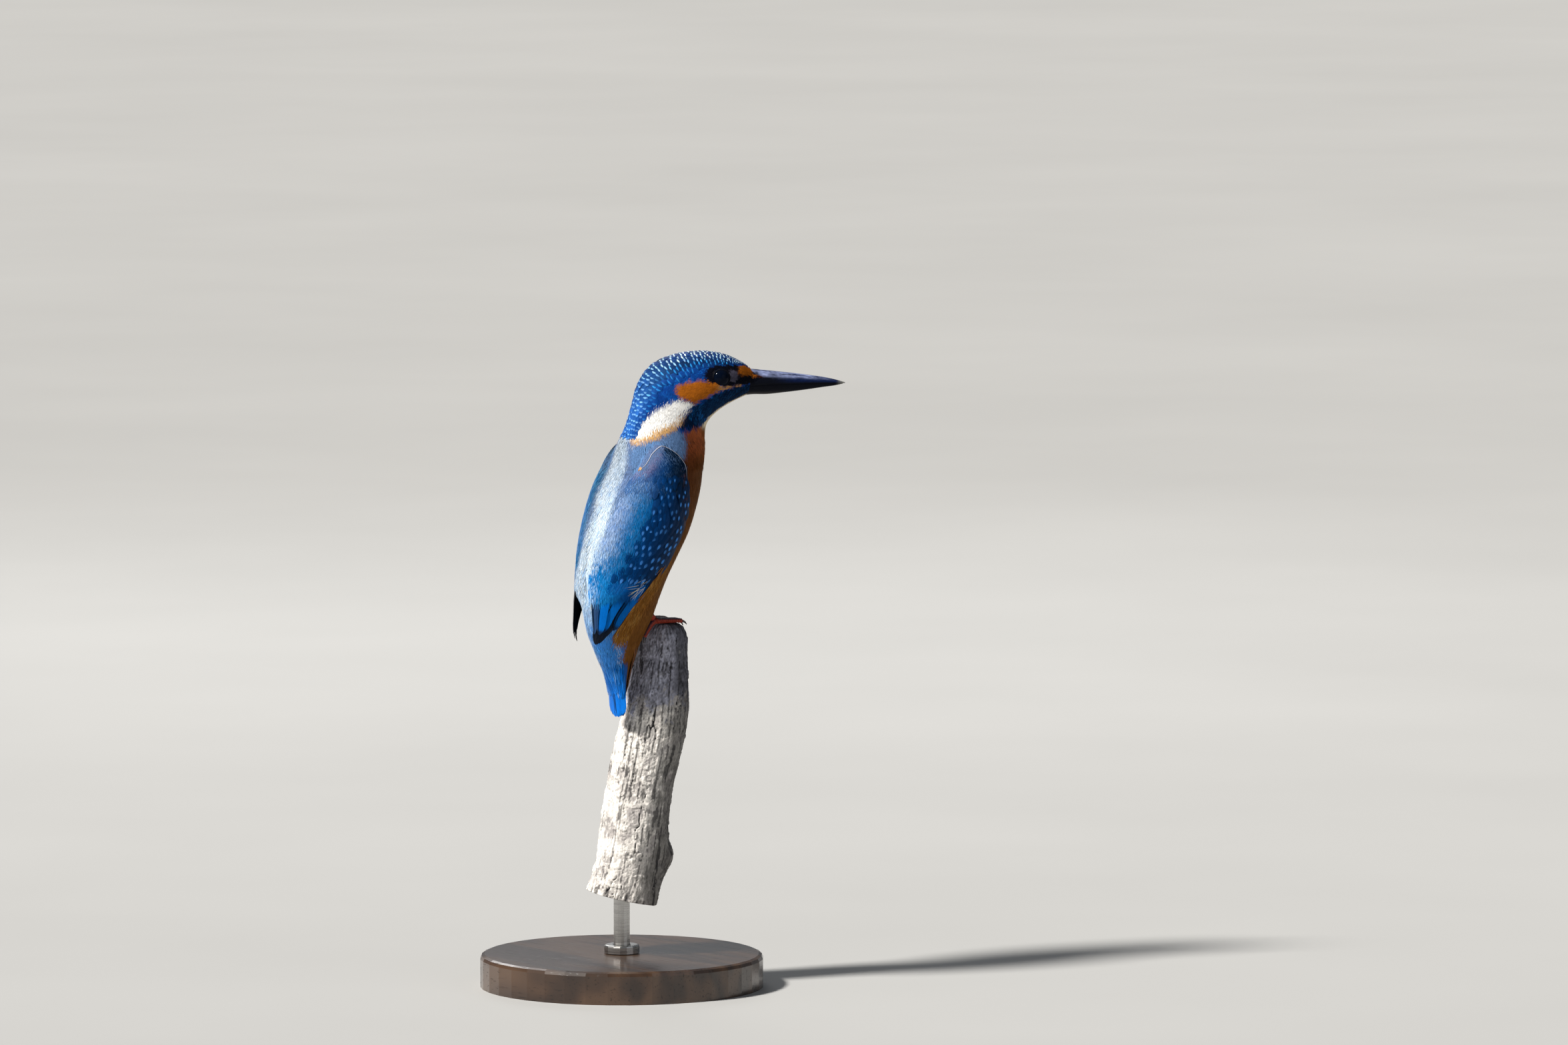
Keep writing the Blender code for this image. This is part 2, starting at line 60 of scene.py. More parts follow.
# Sections of the body: back x, back z, front x, front z, half width, and how far the widest part
# sits frontward.
BODY = np.array([
    (35.3, 92.9, 34.0, 83.5, 4.0, 0.00),
    (30.6, 96.0, 28.6, 81.2, 7.3, 0.08),
    (24.4, 98.6, 24.2, 78.8, 9.8, 0.12),
    (16.4, 99.6, 21.2, 76.5, 11.3, 0.12),
    (7.4, 98.6, 19.4, 74.5, 12.3, 0.10),
    (-1.4, 94.9, 18.4, 72.7, 12.8, 0.06),
    (-6.6, 87.8, 18.0, 70.7, 12.9, 0.03),
    (-9.0, 79.5, 17.9, 68.3, 13.2, 0.00),
    (-11.4, 71.8, 17.8, 65.2, 14.2, 0.00),
    (-15.4, 65.0, 17.5, 61.2, 15.4, 0.00),
    (-20.0, 58.0, 16.4, 56.0, 16.6, 0.00),
    (-24.6, 50.0, 15.2, 49.5, 17.5, 0.00),
    (-27.9, 42.0, 12.9, 42.0, 17.6, 0.00),
    (-30.6, 34.0, 9.6, 34.0, 17.1, 0.02),
    (-32.6, 26.0, 4.7, 26.0, 16.0, 0.05),
    (-33.9, 18.0, 0.1, 18.0, 14.2, 0.08),
    (-34.1, 10.0, -3.1, 10.0, 12.0, 0.08),
    (-33.2, 4.0, -5.2, 4.0, 10.4, 0.05),
    (-31.6, -2.0, -8.4, -2.0, 8.8, 0.00),
    (-28.8, -8.0, -11.8, -8.0, 7.4, 0.00),
])
LAST = len(BODY) - 1

# Wing: height z, edge nearest the breast and edge nearest the spine in degrees from the spine, and
# its stand-off outside and inside.
WING = (
    (65.6, 70.0, 58.0, 1.2, 0.5),
    (64.0, 79.0, 51.0, 1.7, 0.5),
    (60.5, 88.0, 41.0, 1.9, 0.5),
    (55.0, 94.0, 32.0, 1.9, 0.5),
    (48.0, 102.0, 26.0, 1.9, 0.5),
    (38.0, 109.0, 20.0, 1.9, 0.5),
    (28.0, 108.0, 14.0, 1.9, 0.5),
    (18.0, 99.0, 11.0, 2.0, 0.6),
)
WING_TIPS = {
    1: (
        (11.0, 84.0, 16.0, 2.6, 1.0),
        (6.0, 69.0, 20.0, 3.4, 1.9),
        (1.6, 57.0, 26.0, 4.4, 3.1),
        (-2.4, 44.0, 36.0, 5.3, 4.4),
    ),
    -1: (
        (11.0, 80.0, 8.0, 2.3, 0.8),
        (6.0, 63.0, 5.0, 2.5, 1.0),
        (1.5, 50.0, 2.0, 2.8, 1.4),
        (-2.2, 34.0, 0.0, 2.9, 1.7),
        (-5.0, 18.0, 2.0, 2.7, 1.8),
    ),
}
WING_EDGE = 0.6  # thickness at the rims
SHOULDER_TOP, WING_TOP = 66.2, 67.5  # heights where the wing's bulge and its face die out into the neck
SIDES = {"left": 1, "right": -1}

# Tail blade: z, back x, front x, half width. Then the coverts under it.
TAIL = np.array([
    (-4.0, -30.2, -20.5, 7.4),
    (-8.4, -28.4, -19.8, 7.2),
    (-14.0, -25.2, -19.5, 6.4),
    (-20.0, -22.7, -19.4, 5.5),
    (-26.0, -20.9, -19.2, 5.0),
    (-31.0, -20.2, -19.1, 4.6),
    (-33.4, -20.0, -19.1, 2.8),
])
UNDERTAIL = np.array([
    (-4.0, -20.5, -10.4, 7.6),
    (-8.4, -19.4, -12.0, 7.0),
    (-14.0, -19.1, -14.5, 5.9),
    (-20.0, -18.7, -16.3, 4.6),
    (-26.0, -18.5, -17.5, 2.4),
])

TAIL_BACK_X = -19.35  # where the tail feathers' undersides lie

EYE_AT = np.array((22.4, 7.9, 90.4))
EYE_RADIUS = 3.6

# Bill: x, upper edge z, lower edge z, half width.
BILL_UPPER = np.array([
    (32.0, 93.2, 87.0, 4.0),
    (35.6, 92.8, 87.0, 3.7),
    (41.0, 92.2, 87.2, 3.2),
    (48.0, 91.4, 87.25, 2.5),
    (55.5, 90.4, 87.3, 1.8),
    (63.5, 89.1, 87.2, 1.10),
    (67.6, 88.1, 87.1, 0.62),
    (70.2, 87.3, 87.0, 0.12),
])
BILL_LOWER = np.array([
    (31.6, 86.8, 83.0, 3.7),
    (35.2, 86.9, 83.4, 3.5),
    (41.0, 87.05, 83.4, 3.0),
    (48.0, 87.15, 84.0, 2.3),
    (55.5, 87.2, 84.8, 1.65),
    (62.5, 87.1, 85.7, 1.02),
    (66.6, 87.0, 86.2, 0.58),
    (69.4, 86.95, 86.75, 0.12),
])

# Feet: each front toe's heading from straight ahead, its length and its root radius.
FOOT_Y = 3.5
TOES = ((-17.0, 8.6, 1.0), (0.0, 11.4, 1.15), (13.0, 10.8, 1.05))
TOE_TIP, TOE_LIFT = 0.75, 0.35
TOE_BEND_X, TOE_BEND_RADIUS = 4.6, 5.0
FOOT_ROOT_X = -4.8
HIND_TOE = ((-4.6, 1.6), (-6.5, 0.2), (-8.3, -2.0), (-9.5, -4.0))
SHANK = ((-6.2, 3.1), (-8.2, 5.0), (-11.0, 7.2))
SHANK_RADIUS, HIND_RADIUS = 1.25, 1.15

# Perch: x, y, z of its middle line and its radius, then the rounding of its top as radius, depth.
PERCH = np.array([
    (1.8, -0.3, 0.0, 9.4),
    (1.3, 0.1, -12.0, 9.9),
    (0.2, 1.0, -26.0, 11.6),
    (-1.5, 2.4, -40.0, 12.7),
    (-5.1, 5.2, -63.0, 12.4),
    (-7.6, 7.2, -87.0, 13.0),
    (-10.1, 9.1, -101.0, 13.0),
])
PERCH_ROUND = np.array(((0.0, 0.0), (3.4, 0.0), (5.9, 0.3), (7.8, 1.4), (9.1, 3.6)))
CHAMFER_X, CHAMFER_SLOPE = -4.6, 1.15
KNOT_AT, KNOT_HEIGHT, KNOT_SPREAD = (-86.0, -38.0), 2.4, 4.5


def rgb(red, green, blue):
    """A colour as linear red, green and blue."""
    return np.array((red, green, blue))


# Colours of the head and neck.
COBALT, COBALT_STREAK = rgb(0.004, 0.046, 0.25), rgb(0.008, 0.16, 0.60)
CROWN_DARK, NAPE = rgb(0.004, 0.02, 0.085), rgb(0.02, 0.12, 0.46)
AZURE, AZURE_SIDE = rgb(0.3, 0.62, 0.92), rgb(0.03, 0.36, 0.92)
EAR, EAR_PALE = rgb(0.44, 0.125, 0.008), rgb(0.60, 0.30, 0.08)
# the lore's grey is a painted sheen on its black, ahead of the eye
LORE_BLACK, LORE_SHEEN = rgb(0.004, 0.004, 0.008), rgb(0.085, 0.078, 0.115)
MALAR, MALAR_BAR = rgb(0.001, 0.01, 0.04), rgb(0.008, 0.13, 0.36)
WHITE, BUFF, CREAM = rgb(1.0, 0.98, 0.94), rgb(0.62, 0.36, 0.14), rgb(0.78, 0.66, 0.46)
NOSTRIL_DARK = rgb(0.035, 0.010, 0.006)
# Under parts. Their rust and chestnut are darker than the bird's own orange, a painted shade of the breast.
RUST, CHESTNUT, BREAST_TOP = rgb(0.16, 0.055, 0.009), rgb(0.13, 0.038, 0.009), rgb(0.26, 0.075, 0.03)
BELLY, FLANK_GOLD, WISP = rgb(0.22, 0.085, 0.012), rgb(0.60, 0.34, 0.10), rgb(0.80, 0.74, 0.52)
# Mantle, back and rump, with the bright strip down their middle. The mantle's lilac is a painted sheen over its blue,
# the strip is the bird's azure stripe painted near white as a highlight, and the streaks over the far side's teal are
# painted highlights.
SLATE, SLATE_GREY, LILAC_SHEEN = rgb(0.115, 0.215, 0.42), rgb(0.12, 0.17, 0.32), rgb(0.2, 0.32, 0.56)
TEAL, FAR_HIGHLIGHT_STREAK = rgb(0.006, 0.165, 0.46), rgb(0.22, 0.50, 0.74)
STRIP_AND_SHEEN, STRIP_HIGHLIGHT = rgb(0.66, 0.8, 0.96), rgb(0.84, 0.92, 1.0)
STRIP_BLUE, STRIP_LOW = rgb(0.10, 0.36, 0.80), rgb(0.26, 0.55, 1.0)
RUMP_BLUE = rgb(0.02, 0.22, 0.72)
# Folded wings and the feathers over their edge by the spine.
WING_BLUE, WING_DARK = rgb(0.001, 0.042, 0.18), rgb(0.0005, 0.015, 0.06)
SHOULDER_DEEP, SHOULDER_BLUE = rgb(0.018, 0.065, 0.20), rgb(0.05, 0.13, 0.34)
BEND_STREAK, BEND_LILAC = rgb(0.12, 0.26, 0.50), rgb(0.21, 0.20, 0.36)
# the far bend's streak colour is a painted highlight
FAR_BEND, FAR_BEND_HIGHLIGHT = rgb(0.02, 0.19, 0.42), rgb(0.25, 0.55, 0.78)
RIM_PALE, FLECK, FLECK_DARK = rgb(0.62, 0.62, 0.70), rgb(0.75, 0.42, 0.14), rgb(0.45, 0.22, 0.08)
# a pale lilac sheen and its streaks, painted reflections over the scapulars
PAINTED_SHEEN, PAINTED_SHEEN_STREAK = rgb(0.38, 0.50, 0.76), rgb(0.50, 0.62, 0.85)
DEEP_STREAK, EDGE_STREAK = rgb(0.01, 0.14, 0.50), rgb(0.50, 0.70, 0.95)
COVERT_SPOT, GREATER_SPOT = rgb(0.07, 0.30, 0.86), rgb(0.04, 0.24, 0.72)
VANE_BLUE, VANE_SLATE = rgb(0.001, 0.15, 0.6), rgb(0.03, 0.075, 0.19)
# VANE_SHADE: a dark inner web, darker still as a painted shadow of the feather over it
VANE_SHADE, VANE_SOOT = rgb(0.022, 0.055, 0.14), rgb(0.02, 0.02, 0.025)
QUILL_BLACK, QUILL_BROWN = rgb(0.010, 0.009, 0.012), rgb(0.03, 0.024, 0.028)
VANE_FAWN = rgb(0.30, 0.21, 0.17)
# Tail.
TAIL_BLUE, TAIL_EDGE = rgb(0.002, 0.145, 0.62), rgb(0.02, 0.30, 0.85)
TAIL_AZURE, TAIL_PALE = rgb(0.08, 0.36, 0.88), rgb(0.36, 0.60, 0.93)
# Bill, feet, lids and perch.
# the bill's blue and slate sheen are painted reflections on its black horn
BILL_BLACK, BILL_BLUE_SHEEN, BILL_SHEEN = rgb(0.003, 0.004, 0.009), rgb(0.004, 0.012, 0.06), rgb(0.22, 0.26, 0.45)
BILL_NOSTRIL, BILL_JAW, BILL_TIP = rgb(0.05, 0.012, 0.010), rgb(0.035, 0.032, 0.032), rgb(0.22, 0.22, 0.20)
FOOT_RED, FOOT_DUSK, LID = rgb(0.30, 0.035, 0.016), rgb(0.045, 0.030, 0.050), rgb(0.003, 0.004, 0.008)
WOOD_CREAM, WOOD_GREY = rgb(0.95, 0.90, 0.84), rgb(0.40, 0.37, 0.36)
# WOOD_SHADE is the grey violet of the bird's painted shadow on the perch
WOOD_CRACK, WOOD_SHADE = rgb(0.020, 0.019, 0.022), rgb(0.30, 0.305, 0.38)

# Markings as closed outlines of (section, degrees from the spine).
EAR_OUTLINE = (
    (4.78, 71), (5.18, 75), (5.21, 86), (4.69, 106), (3.63, 108), (2.20, 104), (2.30, 97), (2.86, 86), (3.80, 76),
)
WHITE_OUTLINE = (
    (5.17, 91), (4.80, 107), (5.67, 104), (6.80, 90), (7.69, 64), (8.45, 29), (8.04, 27), (7.13, 47), (6.04, 73),
)
BUFF_OUTLINE = ((5.67, 104), (6.40, 101), (7.30, 88), (8.20, 60), (8.75, 22), (8.10, 29), (7.55, 60), (6.70, 86))
MALAR_OUTLINE = (
    (-0.6, 99), (2.20, 107), (3.6, 111), (5.03, 110), (5.7, 106), (6.41, 96), (6.94, 100), (6.75, 118), (6.49, 128),
    (4.92, 149), (3.0, 152), (1.14, 151), (-0.6, 150),
)
LORE_OUTLINE = (
    (-0.3, 58), (1.02, 38), (1.6, 46), (2.2, 52), (2.9, 57), (3.3, 70), (3.15, 88), (2.2, 98), (0.8, 99), (-0.3, 98),
)
LORE_SPOT = ((1.12, 66), (1.06, 41), (0.6, 22), (0.0, 12), (-0.2, 12), (-0.2, 60), (0.44, 66), (0.75, 71))
# outline of a painted sheen on the black lore, ahead of the eye
LORE_SHEEN_OUTLINE = ((1.85, 72), (1.56, 57), (1.19, 60), (1.11, 84), (1.5, 90), (1.8, 84))
SLATE_OUTLINE = (
    (8.55, 20), (8.05, 62), (7.20, 90), (7.25, 101), (8.0, 102), (9.1, 92), (9.9, 60), (10.4, 40), (9.6, 20),
)
# Edges of the larger fields as (sections, degrees from the spine): the crown's lower one, the one
# between back and under parts, the half width of the bright strip and the share of it kept on the left.
CROWN_EDGE = (0.0, 0.5, 1.0, 1.8, 2.6, 3.4, 4.5, 5.6, 6.6, 7.6, 8.7), (4, 18, 36, 47, 54, 59, 61, 56, 44, 34, 20)
UNDER_EDGE = (0, 5, 6.4, 7.2, 7.9, 9.2, 12, 16, 17.5, 19), (150, 149, 128, 104, 98, 88, 84, 76, 70, 66)
STRIP_HALF = (8.7, 10, 11.4, 13, 14.5, 16, 19), (17, 16, 19, 18, 30, 42, 75)
STRIP_LEFT = (10.6, 11.6, 14.0, 15.5), (1.0, 0.6, 0.6, 1.0)
SECTION_MM, DEGREE_MM = 6.2, 0.21  # rough size of one section and one degree on the head
MOST_AREA = 10.5 * 17.5 * 1.15  # largest area of one section by one radian, in square millimetres


# ---- shapes of the body


def spline(knots, values, at):
    """Values at 'at' on the smooth curve through the knots, with each knot's slope taken from its
    two neighbours."""
    knots = np.asarray(knots, float)
    values = np.asarray(values, float).reshape(len(knots), -1)
    slopes = np.gradient(values, knots, axis=0)
    at = np.asarray(at, float)
    flat = np.clip(at.ravel(), knots[0], knots[-1])
    i = np.clip(np.searchsorted(knots, flat, side="right") - 1, 0, len(knots) - 2)
    span = (knots[i + 1] - knots[i])[:, None]
    t = (flat[:, None] - knots[i][:, None]) / span
    first = (1 + 2 * t) * (1 - t) ** 2 * values[i] + t * (1 - t) ** 2 * span * slopes[i]
    second = t * t * (3 - 2 * t) * values[i + 1] - t * t * (1 - t) * span * slopes[i + 1]
    return (first + second).reshape(*at.shape, -1)


FINE = 64  # steps of the body's table for each section
BODY_ROWS = spline(range(LAST + 1), BODY, np.linspace(0, LAST, LAST * FINE + 1))
BODY_SLOPES = np.gradient(BODY_ROWS, 1 / FINE, axis=0)
WING_START = 8  # first section the folded wings lie beside
WING_SECTIONS = np.arange(WING_START, LAST + 1)
WING_MIDDLES = BODY[WING_START:, [1, 3]].mean(1)  # their heights
NO_WING = 99.0  # height given to places in front of the wings


def unit(vectors):
    """The vectors brought to length 1."""
    return vectors / np.maximum(np.linalg.norm(vectors, axis=-1, keepdims=True), 1e-9)


def smooth(x):
    """0 up to 0 and 1 from 1 on, with an even S between: x squared times (3 - 2 x)."""
    x = np.clip(x, 0, 1)
    return x * x * (3 - 2 * x)


def rises(x, start, width):
    """0 up to start, then evenly up to 1 at a width beyond it."""
    return smooth((x - start) / width)


def falls(x, end, width):
    """1 down from a width short of the end, then evenly to 0 at the end."""
    return smooth((end - x) / width)


def mixed(a, b, share):
    """a plus that share of the way to b, for colours."""
    return a + (b - a) * np.asarray(share)[..., None]


def body_frame(u, v):
    """Point, step per section, step per radian and outward normal of the body at (u, v). A section is
    a front and a back joined by (1 + cos v) / 2, and half width times sin v across, fuller to the
    front by the share egg. Past either end it carries on straight."""
    u, v = np.broadcast_arrays(np.asarray(u, float), np.asarray(v, float))
    inside = np.clip(u, 0, LAST)
    place = inside * FINE
    i = np.minimum(place.astype(int), LAST * FINE - 1)
    part = (place - i)[..., None]
    row = BODY_ROWS[i] * (1 - part) + BODY_ROWS[i + 1] * part
    slope = BODY_SLOPES[i] * (1 - part) + BODY_SLOPES[i + 1] * part
    row = row + slope * (u - inside)[..., None]
    back_x, back_z, front_x, front_z, half, egg = np.moveaxis(row, -1, 0)
    d_back_x, d_back_z, d_front_x, d_front_z, d_half, d_egg = np.moveaxis(slope, -1, 0)
    sin, cos = np.sin(v), np.cos(v)
    share = (1 + cos) / 2
    y = half * sin * (1 - egg * cos)
    point = np.stack([front_x + (back_x - front_x) * share, y, front_z + (back_z - front_z) * share], -1)
    y = d_half * sin * (1 - egg * cos) - half * sin * cos * d_egg
    along = np.stack([d_front_x + (d_back_x - d_front_x) * share, y, d_front_z + (d_back_z - d_front_z) * share], -1)
    y = half * (cos * (1 - egg * cos) + egg * sin * sin)
    around = np.stack([-(back_x - front_x) * sin / 2, y, -(back_z - front_z) * sin / 2], -1)
    return point, along, around, unit(np.cross(around, along))


def swung(vectors, heights):
    """Vectors turned about the upright axis by the head's turn, which eases in with their height."""
    angle = HEAD_TURN * smooth((heights - TURN_FROM) / (TURN_TO - TURN_FROM))
    sin, cos = np.sin(angle), np.cos(angle)
    x, y, z = np.moveaxis(vectors, -1, 0)
    return np.stack([x * cos - y * sin, x * sin + y * cos, z], -1)


def turn_head(points):
    """Swings points about the neck's upright axis."""
    axis = np.array((NECK_AXIS_X, 0.0, 0.0))
    return axis + swung(points - axis, points[..., 2])


def section_at_height(z):
    """The section whose middle lies at height z, along the folded wings."""
    return np.interp(-np.asarray(z, float), -WING_MIDDLES, WING_SECTIONS)


def read_off(table, at):
    """The columns of a table after its first, each read off the smooth curve through its rows."""
    table = np.array(table)
    way = np.sign(table[-1, 0] - table[0, 0])
    return np.moveaxis(spline(way * table[:, 0], table[:, 1:], way * np.asarray(at, float)), -1, 0)


def ramped(start, end, share):
    """From start to end for each feather, with a value for each of its rings' share of the way."""
    start, end = np.broadcast_arrays(start, end)
    return start[:, None] + (end - start)[:, None] * share


def millimetres(u, v):
    """Length of one section and of one radian over the body at (u, v)."""
    _, along, around, _ = body_frame(u, v)
    return np.linalg.norm(along, axis=-1), np.maximum(np.linalg.norm(around, axis=-1), 0.5)


def off_spine(v):
    """Degrees from the spine, whichever side."""
    return np.degrees(np.abs(v))


def wing_table(side, z):
    """The wing's edge by the breast and by the spine and its two stand-offs, at height z."""
    return read_off(WING + WING_TIPS[side], z)


def wing_place(side, z, t):
    """Section and angle of the wing's point at height z, from t = -1 at its edge by the spine to 1 at
    its edge by the breast."""
    fore, aft, _, _ = wing_table(side, z)
    return section_at_height(z), side * np.radians((fore + aft) / 2 + (fore - aft) / 2 * t)


def wing_face(t, outside, inside):
    """Stand-off of the wing's outer face at place t across it: a flat dome between the rims."""
    dome = np.sqrt(np.clip(1 - 0.92 * np.clip(t, -1, 1) ** 2, 0, 1))
    return inside + WING_EDGE + (outside - inside - WING_EDGE) * dome


def spine_edge(z, v):
    """Where the folded wing's edge by the spine lies, as a place across the wing: from the rump down
    the right one draws away from the spine."""
    return np.where(v > 0, -1.0, np.interp(z, (-3.0, 0.0, 6.0, 12.0, 19.0), (-0.1, -0.22, -0.5, -0.78, -1.0)))


def wing_reach(u, v):
    """How far across the wing a place of the body lies, |t| < 1 being under it, its height, and the
    stand-off of the wing's outer face there."""
    z = np.interp(u, WING_SECTIONS, WING_MIDDLES)
    parts = [wing_table(side, z) for side in (1, -1)]
    fore, aft, outside, inside = (np.where(v > 0, a, b) for a, b in zip(*parts))
    t = (off_spine(v) - (fore + aft) / 2) / np.maximum((fore - aft) / 2, 1e-6)
    return t, np.where(np.asarray(u) < WING_START + 0.2, NO_WING, z), wing_face(t, outside, inside)


def wing_rise(u, v):
    """Height of the coat over the trunk where the folded wing lies on it, falling off past its rim."""
    t, z, outer = wing_reach(u, v)
    falls_over = np.where(v > 0, 0.45, np.interp(z, (50, 56), (0.45, 0.05)))
    past = np.maximum(np.maximum((t - 1) / 0.09, (spine_edge(z, v) - t) / falls_over), 0)
    return outer * (1 - smooth(past)) * smooth((SHOULDER_TOP - z) / 0.7)


def off_the_tips(u, v):
    """The wing's rise for feathers of the trunk, which run in under the wing's rim and its free tips."""
    _, z, _ = wing_reach(u, v)
    return wing_rise(u, v) * over_wing(u, v) * smooth((z - np.where(v > 0, 8.5, 15.0)) / 5)


def over_wing(u, v):
    """0 for a feather rooted outside the wing's rim at its bend or along its front, which runs in
    under the wing, and 1 for the rest."""
    t, z, _ = wing_reach(u, v)
    outside = (t > 1) | ((z > 53) & (t < spine_edge(z, v)) & (v < 0)) | (z > SHOULDER_TOP)
    return np.where(outside, 0.0, 1.0)


# ---- meshes


def origin_of_bird():
    """The bird's origin in the scene, from where the model's two eyes are."""
    middles = [(np.array(low) + np.array(high)) / 2 for low, high in (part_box("eye_left"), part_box("eye_right"))]
    return sum(middles) / 2 - turn_head(EYE_AT * (1, 0, 1)) * MM


ORIGIN = origin_of_bird()


def make_piece(name, points, faces, finish, uvs=None, colours=None, normals=None, replaced=()):
    """Puts whole arrays into a mesh, its head swung: points in bird millimetres, faces as arrays of 3
    or 4 indices each, uvs as name to a value for each point or each corner, colours as name to a
    value for each point, and where given, the soft normals that light the coat."""
    mesh = bpy.data.meshes.new(name)
    points = np.asarray(points, float).reshape(-1, 3)
    heights = points[:, 2]
    points = turn_head(points) * MM + ORIGIN
    corners = np.concatenate([f.reshape(-1) for f in faces])
    counts = np.concatenate([np.full(len(f), f.shape[1]) for f in faces])
    mesh.vertices.add(len(points))
    mesh.vertices.foreach_set("co", points.astype(np.float32).ravel())
    mesh.loops.add(len(corners))
    mesh.loops.foreach_set("vertex_index", corners.astype(np.int32))
    mesh.polygons.add(len(counts))
    mesh.polygons.foreach_set("loop_start", (np.cumsum(counts) - counts).astype(np.int32))
    mesh.polygons.foreach_set("use_smooth", np.ones(len(counts), bool))
    mesh.materials.append(finish)
    mesh.update(calc_edges=True)
    for key, value in (uvs or {}).items():
        layer = mesh.uv_layers.new(name=key)
        value = np.asarray(value, np.float32).reshape(-1, 2)
        layer.data.foreach_set("uv", (value if len(value) == len(corners) else value[corners]).ravel())
    for key, value in (colours or {}).items():
        value = np.asarray(value, np.float32).reshape(len(points), -1)
        layer = mesh.color_attributes.new(name=key, type="FLOAT_COLOR", domain="POINT")
        layer.data.foreach_set("color", value.ravel())
    if normals is not None:
        mesh.normals_split_custom_set_from_vertices(swung(normals.reshape(-1, 3), heights).astype(np.float32))
    made = bpy.data.objects.new(name, mesh)
    bpy.context.scene.collection.objects.link(made)
    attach(made, "root")
    if replaced:
        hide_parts(*replaced)
    return made


def outward(points, faces):
    """The faces turned outwards: the volume they enclose, summed from their middle, comes out positive."""
    flat = points.reshape(-1, 3)
    flat = flat - flat.mean(0)
    total = 0.0
    for f in faces:
        for corners in ((0, 1, 2), (0, 2, 3))[: f.shape[1] - 2]:
            a, b, c = (flat[f[:, k]] for k in corners)
            total += np.einsum("ij,ij->", a, np.cross(b, c))
    return faces if total > 0 else [f[:, ::-1] for f in faces]


def rows_and_columns(rows, columns):
    """The row and the column of each place in a grid, row after row."""
    return (g.ravel() for g in np.meshgrid(np.arange(rows), np.arange(columns), indexing="ij"))


def grid_quads(rings, sides, closed=False):
    """Faces between neighbouring rings of points, each ring closed on itself. Where closed is set, the
    last ring is joined to the first."""
    i, j = rows_and_columns(rings if closed else rings - 1, sides)
    after, beyond = (j + 1) % sides, (i + 1) % rings
    return np.stack([i * sides + j, i * sides + after, beyond * sides + after, beyond * sides + j], -1)


def shells(rings, tips=None):
    """Many closed tapering shells at once: rings is shell, ring, point round the ring, xyz. Each end is
    closed by a fan, to the ring's middle or at the far end to its tip."""
    n, r, k, _ = rings.shape
    end = rings[:, -1].mean(1) if tips is None else tips
    points = np.concatenate([rings.reshape(n, r * k, 3), rings[:, :1].mean(2), end[:, None]], 1)
    base = np.arange(n)[:, None, None] * (r * k + 2)
    side = np.arange(k)
    after = (side + 1) % k
    root = np.stack([np.full(k, r * k), after, side], -1)
    tip = np.stack([np.full(k, r * k + 1), (r - 1) * k + side, (r - 1) * k + after], -1)
    faces = [base + grid_quads(r, k)[None], base + np.concatenate([root, tip])[None]]
    return points, outward(points, [f.reshape(-1, f.shape[-1]) for f in faces])


def on_shells(along, across):
    """A value for each point of the shells from values along them (shell, ring + 1, c) and a pattern
    across (k,): the root's middle takes the first ring's value and the tip the last."""
    n, r = along.shape[0], along.shape[1] - 1
    rings = np.repeat(along[:, :r, None], len(across), 2)
    return np.concatenate([rings.reshape(n, r * len(across), -1), along[:, :1], along[:, -1:]], 1)


def with_fourth(colours, value=1.0):
    """Colours with one more number each, which stands for roughness in the coat."""
    return np.concatenate([colours, np.full((*colours.shape[:-1], 1), value)], -1)


def coated(grid, rough=1.0):
    """The Coat values of one shell from its (ring, side, colour) grid: its rings, then its two ends."""
    return with_fourth(np.concatenate([grid.reshape(-1, 3), grid[0, :1], grid[-1, :1]]), rough)


def laid(centre, normal):
    """Blade paths from their middle lines and normals: point, sideways and normal at each ring."""
    return centre, unit(np.cross(normal, np.gradient(centre, axis=1))), normal



def joined(parts):
    """Several (points, faces, colours) made one, the faces' indices moved along."""
    points, faces, colours, start = [], {3: [], 4: []}, [], 0
    for p, fs, c in parts:
        p = p.reshape(-1, 3)
        points.append(p)
        colours.append(np.broadcast_to(c, (*p.shape[:1], 4)) if np.ndim(c) == 1 else c.reshape(-1, 4))
        for f in fs:
            faces[f.shape[1]].append(f + start)
        start += len(p)
    return np.concatenate(points), [np.concatenate(f) for f in faces.values() if f], np.concatenate(colours)


def round_angles(count):
    """Even angles round a full circle."""
    return np.linspace(0, 2 * np.pi, count, endpoint=False)


def square_to(path):
    """Two unit vectors square to a path and to each other at each point: the first lies sideways."""
    tangent, sideways = unit(np.gradient(path, axis=0)), np.array((0.0, 1.0, 0.0))
    first = unit(sideways - tangent * (tangent @ sideways)[:, None])
    return first, np.cross(tangent, first)


def tubes(path, radii, sides):
    """A closed tube along a path: rings square to it, each point the radius times (cos a, sin a) away."""
    first, second = square_to(path)
    a = round_angles(sides)[:, None]
    spokes = np.cos(a) * first[:, None] + np.sin(a) * second[:, None]
    return shells((path[:, None] + radii[:, None, None] * spokes)[None])


# ---- markings


